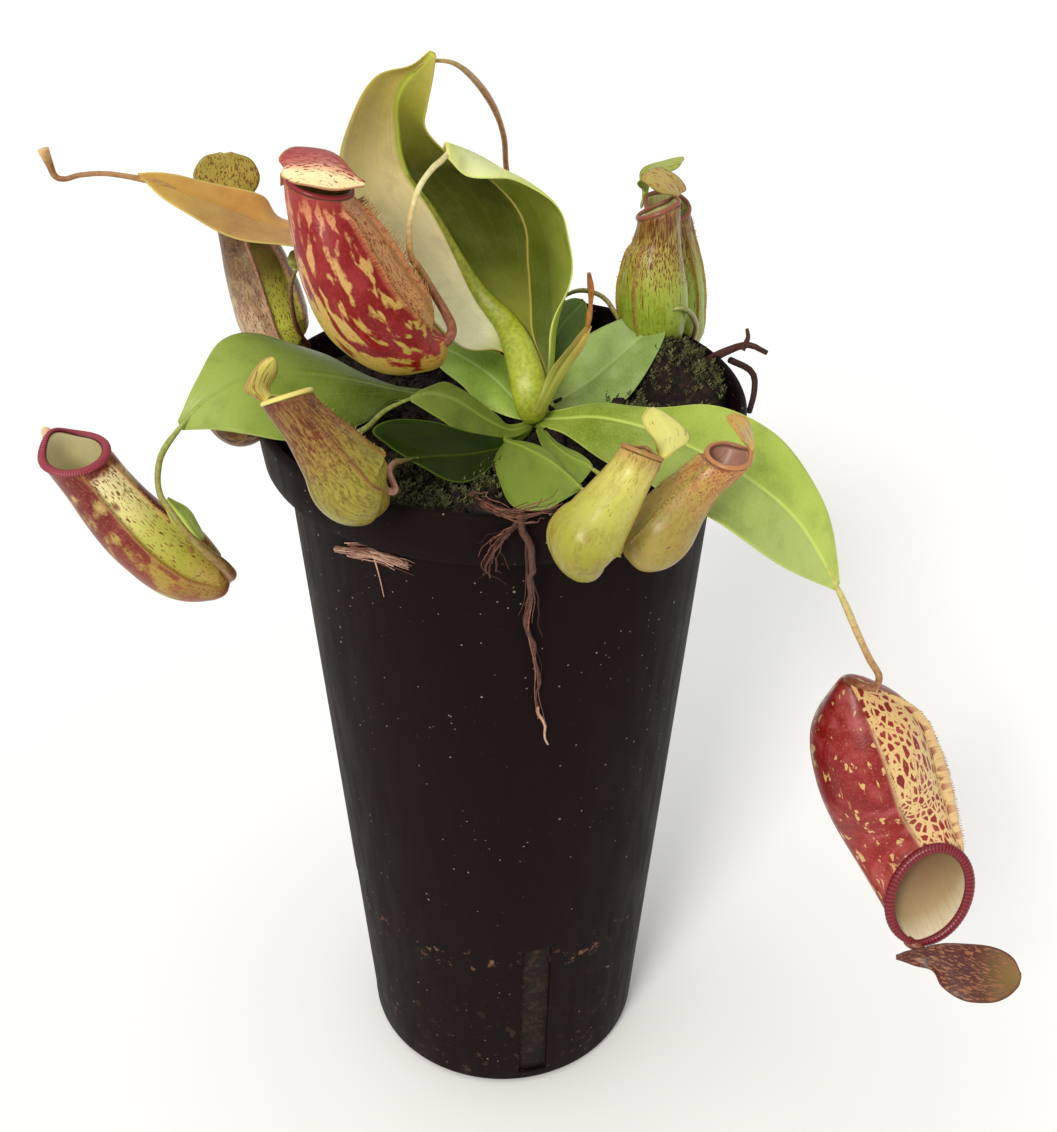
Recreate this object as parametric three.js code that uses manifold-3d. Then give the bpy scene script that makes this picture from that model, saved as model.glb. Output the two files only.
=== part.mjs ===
// A pitcher plant in a tall nursery pot: pot, peat, crown, leaves with their tendrils, and pitchers.
// Millimetres, +Z up. The origin is the middle of the pot's underside; the front of the plant is -Y.
import * as THREE from 'three';
import { mergeVertices } from 'three/addons/utils/BufferGeometryUtils.js';
import Module from 'manifold-3d';

const wasm = await Module();
wasm.setup();

// ---------------------------------------------------------------- driving dimensions
const pot = {
  height: 226.5,
  rimRadius: 65,
  bandHeight: 14.3,
  bandFootRadius: 63.6,
  shoulderRadius: 58,
  baseRadius: 43.6,
  baseRound: 3,
  wall: 1.8,
  floor: 3,
  slotWidth: 9,
  slotFoot: 5,
  slotHeight: 60,
  slotCount: 4,
  frontSlotX: 10,
};
const soilTop = 219;
const touchGap = 0.3;
const crownAt = { x: 9, y: -3, radius: 4.2, foot: 207, top: 223 };
const leafThickness = 0.8;
const ribThickness = 1.7;
const cupWall = 1.1;
const tendrilSides = 4;
const footRound = 0.4;
const wingFoot = 7;
const wingFrom = 0.16;
const wingTo = 0.95;
const mouthBlendStart = 0.68;
const hollowStart = 0.25;

// The plant's points are given as places in the photograph, with the depth in mm behind the pot's
// axis as the third number. This is the view that turns them into millimetres.
const view = {
  focal: 1500,
  middleX: 528.5,
  middleY: 566,
  back: 358.6,
  height: 404.7,
  side: 7.46,
  pitch: 0.5772,
  roll: -0.0084,
};

function place([seenX, seenY, depth]) {
  const a = (seenX - view.middleX) / view.focal;
  const b = (view.middleY - seenY) / view.focal;
  const across = a * Math.cos(view.roll) + b * Math.sin(view.roll);
  const up = b * Math.cos(view.roll) - a * Math.sin(view.roll);
  const reach = (depth + view.back) / (Math.cos(view.pitch) + up * Math.sin(view.pitch));
  return new THREE.Vector3(
    view.side + reach * across,
    depth,
    view.height + reach * (up * Math.cos(view.pitch) - Math.sin(view.pitch)),
  );
}

// ---------------------------------------------------------------- closed bodies from rings and grids
function solidOf(points, faces) {
  const geometry = new THREE.BufferGeometry();
  const numbers = points.flatMap((p) => [p.x, p.y, p.z]);
  geometry.setAttribute('position', new THREE.Float32BufferAttribute(numbers, 3));
  geometry.setIndex(faces.flat());
  return bodyOf(geometry);
}

function bodyOf(geometry) {
  const bare = geometry.clone();
  bare.deleteAttribute('normal');
  bare.deleteAttribute('uv');
  const merged = mergeVertices(bare, 1e-4);
  const body = new wasm.Manifold(new wasm.Mesh({
    numProp: 3,
    vertProperties: new Float32Array(merged.attributes.position.array),
    triVerts: new Uint32Array(merged.index.array),
  }));
  return body;
}

function geometryOf(body) {
  const mesh = body.getMesh();
  const geometry = new THREE.BufferGeometry();
  geometry.setAttribute('position', new THREE.Float32BufferAttribute(mesh.vertProperties, 3));
  geometry.setIndex(Array.from(mesh.triVerts));
  geometry.computeVertexNormals();
  return geometry;
}

// A smooth line through points, read at equal steps of its length.
function line(points, rows) {
  const curve = new THREE.CatmullRomCurve3(points, false, 'catmullrom', 0.5);
  return Array.from({ length: rows + 1 }, (_, i) => curve.getPointAt(i / rows));
}

// The rings' points run one way round; the first and last ring are closed with a fan.
function ringFaces(ringCount, sides) {
  const faces = [];
  for (let i = 0; i < ringCount - 1; i += 1) {
    for (let j = 0; j < sides; j += 1) {
      const a = i * sides + j;
      const b = i * sides + ((j + 1) % sides);
      faces.push([a, b, b + sides], [a, b + sides, a + sides]);
    }
  }
  return faces;
}

function closedRings(rings, firstPole, lastPole) {
  const sides = rings[0].length;
  const points = [...rings.flat(), firstPole, lastPole];
  const faces = ringFaces(rings.length, sides);
  const last = (rings.length - 1) * sides;
  for (let j = 0; j < sides; j += 1) {
    const k = (j + 1) % sides;
    faces.push([points.length - 2, k, j], [points.length - 1, last + j, last + k]);
  }
  return solidOf(points, faces);
}

// A thin blade: a grid of points thickened both ways along its normals.
function thickened(grid, thicknessAt) {
  const rows = grid.length;
  const columns = grid[0].length;
  const upper = [];
  const lower = [];
  grid.forEach((row, i) => row.forEach((point, j) => {
    const along = grid[Math.min(i + 1, rows - 1)][j].clone().sub(grid[Math.max(i - 1, 0)][j]);
    const over = row[Math.min(j + 1, columns - 1)].clone().sub(row[Math.max(j - 1, 0)]);
    const normal = over.cross(along).normalize().multiplyScalar(thicknessAt(i, j) / 2);
    upper.push(point.clone().add(normal));
    lower.push(point.clone().sub(normal));
  }));
  const count = upper.length;
  const faces = [];
  const quad = (a, b, c, d) => faces.push([a, b, c], [a, c, d]);
  for (let i = 0; i < rows - 1; i += 1) {
    for (let j = 0; j < columns - 1; j += 1) {
      const a = i * columns + j;
      const d = a + columns;
      quad(a, a + 1, d + 1, d);
      faces.push([count + a, count + d + 1, count + a + 1], [count + a, count + d, count + d + 1]);
    }
    const left = i * columns;
    const right = left + columns - 1;
    quad(left, left + columns, count + left + columns, count + left);
    quad(right + columns, right, count + right, count + right + columns);
  }
  const end = (rows - 1) * columns;
  for (let j = 0; j < columns - 1; j += 1) {
    quad(j + 1, j, count + j, count + j + 1);
    quad(end + j, end + j + 1, count + end + j + 1, count + end + j);
  }
  return solidOf([...upper, ...lower], faces);
}

// A leaf blade between its two edges and its midrib. fold 0 gives a rounded trough, 1 a sharp V.
function bladeGrid(leaf, swell) {
  const rows = leaf.rows ?? 12;
  const half = leaf.half ?? 2;
  const [left, mid, right] = [leaf.left, leaf.mid, leaf.right]
    .map((rail) => line(rail.map((p) => (p.isVector3 ? p : place(p))), rows));
  const fold = leaf.fold ?? 0.3;
  return mid.map((middle, i) => Array.from({ length: 2 * half + 1 }, (_, k) => {
    const q = (k - half) / half;
    const edge = q < 0 ? left[i] : right[i];
    const side = edge.clone().sub(middle);
    const straight = middle.clone().addScaledVector(side, Math.abs(q));
    const round = new THREE.Vector3()
      .addScaledVector(left[i], (q * (q - 1)) / 2)
      .addScaledVector(middle, 1 - q * q)
      .addScaledVector(right[i], (q * (q + 1)) / 2);
    const point = round.lerp(straight, fold);
    if (swell > 0 && Math.abs(q) === 1) point.addScaledVector(side.normalize(), swell);
    return point;
  }));
}

function blade(leaf, swell = 0) {
  const half = leaf.half ?? 2;
  const thin = leaf.thickness ?? leafThickness;
  const rib = leaf.rib ?? ribThickness;
  return thickened(bladeGrid(leaf, swell), (i, j) => (j === half ? rib : thin) + 2 * swell);
}

// A tendril or root: a round line whose radius changes along it.
function strand(points, radii, steps = 10, sides = 5, swell = 0) {
  const path = line(points.map((p) => (p.isVector3 ? p : place(p))), steps);
  const rings = [];
  let front = new THREE.Vector3(0.3, -0.8, 0.5);
  path.forEach((point, i) => {
    const tangent = path[Math.min(i + 1, steps)].clone().sub(path[Math.max(i - 1, 0)]).normalize();
    front = front.clone().addScaledVector(tangent, -front.dot(tangent)).normalize();
    const side = tangent.clone().cross(front);
    const at = (i / steps) * (radii.length - 1);
    const low = Math.min(Math.floor(at), radii.length - 2);
    const radius = THREE.MathUtils.lerp(radii[low], radii[low + 1], at - low) + swell;
    rings.push(Array.from({ length: sides }, (_, j) => {
      const angle = (2 * Math.PI * j) / sides;
      return point.clone()
        .addScaledVector(front, Math.cos(angle) * radius)
        .addScaledVector(side, Math.sin(angle) * radius);
    }));
  });
  return closedRings(rings, path[0], path[steps]);
}

// ---------------------------------------------------------------- pitchers
// The cup's centre line runs from its foot to its mouth, with its radius in mm as the fourth number.
// front is the side with the two wings; the lid's hinge is on the other side of the mouth.
function cupFrames(pitcher, rows) {
  const centres = pitcher.axis.map(place);
  const radii = pitcher.axis.map((p) => p[3]);
  const curve = new THREE.CatmullRomCurve3(centres, false, 'catmullrom', 0.5);
  const widths = radii.map((r, i) => new THREE.Vector3(i, r, 0));
  const width = new THREE.CatmullRomCurve3(widths, false, 'catmullrom', 0.5);
  const mouthNormal = new THREE.Vector3(...pitcher.mouth.normal).normalize();
  let front = new THREE.Vector3(...pitcher.front);
  const frames = [];
  for (let i = rows; i >= 0; i -= 1) {
    const t = i / rows;
    const tangent = curve.getTangent(t).normalize();
    const near = THREE.MathUtils.smoothstep(t, mouthBlendStart, 1);
    const axis = tangent.clone().lerp(mouthNormal, near).normalize();
    front = front.clone().addScaledVector(axis, -front.dot(axis)).normalize();
    frames.unshift({
      t,
      centre: curve.getPoint(t),
      axis,
      front,
      side: axis.clone().cross(front),
      along: THREE.MathUtils.lerp(width.getPoint(t).y, pitcher.mouth.along, near),
      across: THREE.MathUtils.lerp(width.getPoint(t).y, pitcher.mouth.across, near),
    });
  }
  return frames;
}

function onFrame(frame, angle, grow) {
  return frame.centre.clone()
    .addScaledVector(frame.front, Math.cos(angle) * (frame.along + grow))
    .addScaledVector(frame.side, Math.sin(angle) * (frame.across + grow));
}

function evenRing(frame, sides, grow) {
  return Array.from({ length: sides }, (_, j) => onFrame(frame, (2 * Math.PI * j) / sides, grow));
}

// The two wings are sharp folds of the cup's own skin, one each side of its front.
function wingHeight(pitcher, t) {
  const share = THREE.MathUtils.clamp((t - wingFrom) / (wingTo - wingFrom), 0, 1);
  return pitcher.wings * Math.sin(Math.PI * share) ** 0.5;
}

function wingedRing(pitcher, frame, sides, swell) {
  const spread = THREE.MathUtils.degToRad(pitcher.wingSpread ?? 26);
  const foot = THREE.MathUtils.degToRad(wingFoot);
  const height = wingHeight(pitcher, frame.t);
  const plain = sides - 7;
  const start = spread + foot;
  const step = (2 * Math.PI - 2 * start) / (plain + 1);
  const stops = [[0, 0], [spread - foot, 0], [spread, height], [start, 0]];
  for (let k = 1; k <= plain; k += 1) stops.push([start + k * step, 0]);
  stops.push([-start, 0], [-spread, height], [foot - spread, 0]);
  return stops.map(([angle, rise]) => onFrame(frame, angle, rise + swell));
}

// The cup's skin goes up its outside, over the edge and down its inside to the bottom.
function cup(pitcher, swell = 0) {
  const rows = pitcher.rows ?? 8;
  const sides = pitcher.sides ?? 12;
  const frames = cupFrames(pitcher, rows);
  const outer = frames.map((frame) => wingedRing(pitcher, frame, sides, swell));
  const foot = frames[0].centre.clone().addScaledVector(frames[0].axis, -footRound - swell);
  const top = frames[rows];
  if (swell > 0) {
    outer[rows] = outer[rows].map((p) => p.addScaledVector(top.axis, swell));
    return closedRings(outer, foot, top.centre.clone().addScaledVector(top.axis, swell));
  }
  const innerStart = Math.ceil(rows * hollowStart);
  const inner = frames.slice(innerStart).filter((_, i, all) => (all.length - 1 - i) % 2 === 0)
    .map((frame) => evenRing(frame, sides, -cupWall)).reverse();
  const bottom = frames[innerStart - 1].centre.clone().lerp(frames[innerStart].centre, 0.6);
  return closedRings([...outer, ...inner], foot, bottom);
}

// The lid grows from a short stalk behind the mouth, and spreads from there.
function lidOf(pitcher) {
  const rows = pitcher.rows ?? 8;
  const top = cupFrames(pitcher, rows)[rows];
  const stalk = onFrame(top, Math.PI, 0.2).addScaledVector(top.axis, 1.3);
  const halfStalk = top.side.clone().multiplyScalar(pitcher.lid.flip ? -1.4 : 1.4);
  return {
    rows: 6,
    half: 2,
    fold: 0,
    rib: leafThickness,
    mid: [stalk, ...pitcher.lid.mid],
    left: [stalk.clone().sub(halfStalk), ...pitcher.lid.left],
    right: [stalk.clone().add(halfStalk), ...pitcher.lid.right],
  };
}

// The lip is a rolled collar that sits on the cup's edge.
function lip(pitcher, swell = 0) {
  const { width = 1.1, height = 0.8, steps = 12, flare = 0.3 } = pitcher.lip ?? {};
  const rows = pitcher.rows ?? 8;
  const top = cupFrames(pitcher, rows)[rows];
  const sectionSides = 4;
  const points = [];
  for (let i = 0; i < steps; i += 1) {
    const angle = (2 * Math.PI * i) / steps;
    const rim = onFrame(top, angle, flare - cupWall / 2).addScaledVector(top.axis, height + touchGap + 0.05);
    const out = onFrame(top, angle, 1).sub(onFrame(top, angle, 0)).normalize();
    for (let j = 0; j < sectionSides; j += 1) {
      const turn = (2 * Math.PI * j) / sectionSides + Math.PI / 2;
      points.push(rim.clone().addScaledVector(out, Math.cos(turn) * (width + swell))
        .addScaledVector(top.axis, Math.sin(turn) * (height + swell)));
    }
  }
  const faces = [];
  for (let i = 0; i < steps; i += 1) {
    for (let j = 0; j < sectionSides; j += 1) {
      const a = i * sectionSides + j;
      const b = i * sectionSides + ((j + 1) % sectionSides);
      const c = ((i + 1) % steps) * sectionSides + j;
      const d = ((i + 1) % steps) * sectionSides + ((j + 1) % sectionSides);
      faces.push([a, c, d], [a, d, b]);
    }
  }
  return solidOf(points, faces);
}

const pitchers = {
  pitcher_hero: {
    axis: [[447, 343, -30, 2.4], [426, 351, -30, 6.2], [399, 338, -30, 10.8], [370, 308, -30, 11.9],
      [348, 270, -29, 11.2], [331, 232, -28, 9.4], [321, 203, -27, 8], [319, 187, -27, 7.7]],
    mouth: { normal: [0.25, 0.12, 0.95], across: 7.7, along: 8.2 },
    front: [0.9, -0.35, 0.1], rows: 12, sides: 14, wings: 2.8,
    lid: {
      mid: [[300, 163, -26], [330, 167, -28], [365, 184, -30]],
      left: [[285, 175, -29], [303, 186, -34], [332, 190, -35], [364, 187, -31]],
      right: [[279, 154, -20], [296, 147, -18], [330, 152, -19], [365, 181, -29]],
    },
    color: '#9a2a20',
  },
  pitcher_left: {
    axis: [[228, 577, -42, 2.2], [212, 577, -43, 6], [183, 564, -44, 9.3], [146, 537, -45, 9.2],
      [112, 502, -46, 8.2], [88, 472, -47, 7.4], [75, 456, -48, 7.4]],
    mouth: { normal: [-0.12, -0.15, 0.97], across: 7.8, along: 7.6 },
    front: [0.75, -0.5, 0.3], rows: 12, sides: 14, wings: 1.6,
    lip: { width: 1.5, height: 1, flare: 0.4, steps: 14 },
    color: '#8f3a26',
  },
  pitcher_right: {
    axis: [[847, 682, -42, 3], [853, 698, -42, 9], [862, 726, -42, 14.2], [873, 765, -43, 16],
      [884, 800, -44, 15.4], [898, 838, -47, 13.2], [915, 870, -54, 12], [929, 894, -64, 12]],
    mouth: { normal: [-0.02, -0.93, 0.36], across: 11.8, along: 13.2 },
    front: [0.5, -0.3, 0.8], rows: 12, sides: 14, wings: 3.4, wingSpread: 32,
    lip: { width: 1.8, height: 1.1, flare: 0.3, steps: 16 },
    lid: {
      mid: [[946, 957, -74], [985, 970, -78], [1021, 974, -78]],
      left: [[962, 943, -73], [1002, 948, -74], [1021, 969, -77]],
      right: [[930, 966, -77], [942, 991, -82], [980, 1005, -85], [1012, 997, -83], [1022, 979, -79]],
    },
    color: '#9a2a20',
  },
  pitcher_front_left: {
    axis: [[394, 490, -66, 2.2], [380, 499, -67, 5.6], [357, 488, -68, 9.3], [335, 458, -68, 8.6],
      [312, 430, -68, 6.9], [296, 411, -68, 6.1], [288, 400, -68, 6.2]],
    mouth: { normal: [-0.3, 0.4, 0.86], across: 6.4, along: 6.2 },
    front: [0.8, -0.5, 0.3], wings: 1.4,
    lid: {
      mid: [[260, 388, -65], [265, 373, -64], [274, 358, -63]],
      left: [[245, 392, -68], [251, 374, -66], [263, 360, -64], [272, 356, -63]],
      right: [[271, 388, -61], [276, 372, -61], [276, 359, -62]],
    },
    color: '#8f7a2e',
  },
  pitcher_front_right: {
    axis: [[600, 575, -82, 2.2], [586, 568, -83, 6.2], [586, 545, -83, 8.7], [600, 519, -82, 8],
      [618, 493, -80, 6.7], [633, 470, -78, 5.8], [641, 455, -77, 5.6]],
    mouth: { normal: [0.35, 0.4, 0.85], across: 5.7, along: 5.6 },
    front: [-0.85, -0.4, 0.3], wings: 1.1,
    lid: {
      mid: [[668, 437, -76], [660, 423, -76], [650, 408, -76]],
      left: [[652, 436, -79], [642, 419, -78], [648, 407, -77]],
      right: [[689, 441, -71], [681, 425, -72], [664, 411, -74], [653, 407, -75]],
    },
    color: '#a8a83c',
  },
  pitcher_front_right_back: {
    axis: [[632, 554, -72, 2.1], [646, 547, -72, 6], [662, 530, -71, 7.8], [682, 504, -69, 7.2],
      [703, 481, -67, 6], [720, 466, -66, 5.5], [728, 458, -65, 5.5]],
    mouth: { normal: [0.1, -0.08, 0.99], across: 5.6, along: 5.6 },
    front: [-0.7, -0.6, 0.3], wings: 1,
    lid: {
      mid: [[749, 438, -61], [741, 424, -60], [730, 414, -60]],
      left: [[741, 441, -66], [734, 428, -64], [727, 417, -62]],
      right: [[754, 437, -57], [746, 419, -57], [733, 413, -59]],
    },
    color: '#b08a40',
  },
  pitcher_back_right: {
    axis: [[668, 352, 30, 2.2], [660, 342, 30, 5.6], [650, 318, 30, 8.2], [648, 290, 30, 8.2],
      [650, 262, 30, 7], [655, 238, 30, 5.9], [659, 212, 30, 6.1]],
    mouth: { normal: [-0.38, 0.15, 0.91], across: 6, along: 6.3 },
    front: [-0.9, -0.4, 0.1], wings: 1.1,
    lid: {
      mid: [[669, 186, 31], [656, 179, 29], [643, 178, 27]],
      left: [[664, 194, 27], [652, 187, 25], [642, 181, 26]],
      right: [[687, 190, 36], [678, 176, 36], [656, 168, 34], [642, 175, 28]],
      flip: true,
    },
    color: '#9a8a34',
  },
  pitcher_back_right_rear: {
    axis: [[684, 352, 42, 2.2], [682, 338, 44, 6], [678, 305, 46, 7.6], [676, 275, 46, 7.3],
      [673, 250, 46, 6.5], [669, 227, 46, 6.2], [667, 208, 46, 6.6]],
    mouth: { normal: [0.1, -0.35, 0.93], across: 6.4, along: 6.6 },
    front: [0.85, -0.4, 0.2], wings: 1.1,
    lid: {
      mid: [[652, 170, 47], [668, 164, 46], [684, 158, 46]],
      left: [[641, 172, 52], [662, 160, 51], [683, 157, 48]],
      right: [[637, 183, 42], [654, 176, 41], [674, 169, 42], [684, 160, 45]],
    },
    color: '#8f8a30',
  },
  pitcher_back_left: {
    axis: [[308, 345, 30, 2.3], [292, 345, 30, 6], [272, 325, 30, 8.6], [261, 295, 30, 8.6],
      [251, 265, 31, 7.6], [243, 238, 32, 6.6], [238, 214, 33, 6.7]],
    mouth: { normal: [0.05, -0.1, 0.99], across: 7, along: 7 },
    front: [0.6, -0.75, 0.1], wings: 1.4,
    lid: {
      mid: [[227, 188, 40], [227, 170, 41], [225, 153, 42]],
      left: [[203, 194, 38], [193, 176, 39], [202, 158, 40], [220, 152, 42]],
      right: [[251, 195, 41], [260, 178, 42], [251, 159, 43], [231, 152, 42]],
    },
    color: '#8a7a34',
  },
  pitcher_low_left: {
    axis: [[268, 416, -13, 1.8], [257, 425, -12, 3.8], [240, 427, -11, 5.2], [226, 419, -10, 4.9],
      [219, 405, -10, 4.2], [217, 391, -10, 4.2]],
    mouth: { normal: [-0.1, 0.1, 0.97], across: 4.3, along: 4.3 },
    front: [0.7, -0.6, 0.2], wings: 0,
    color: '#7a4a2a',
  },
  pitcher_back: {
    axis: [[530, 292, 49, 2.2], [518, 300, 49, 5.6], [504, 286, 49, 7.4], [496, 262, 51, 7],
      [490, 240, 53, 6], [486, 222, 54, 6]],
    mouth: { normal: [-0.1, 0.2, 0.97], across: 6, along: 6 },
    front: [0.6, 0.7, 0.1], wings: 1.1,
    lid: {
      mid: [[474, 206, 55], [484, 199, 57], [500, 199, 59]],
      left: [[470, 202, 63], [486, 199, 65], [501, 200, 61]],
      right: [[476, 211, 48], [490, 204, 50], [501, 202, 56]],
    },
    color: '#9a6a34',
  },
};

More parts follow.
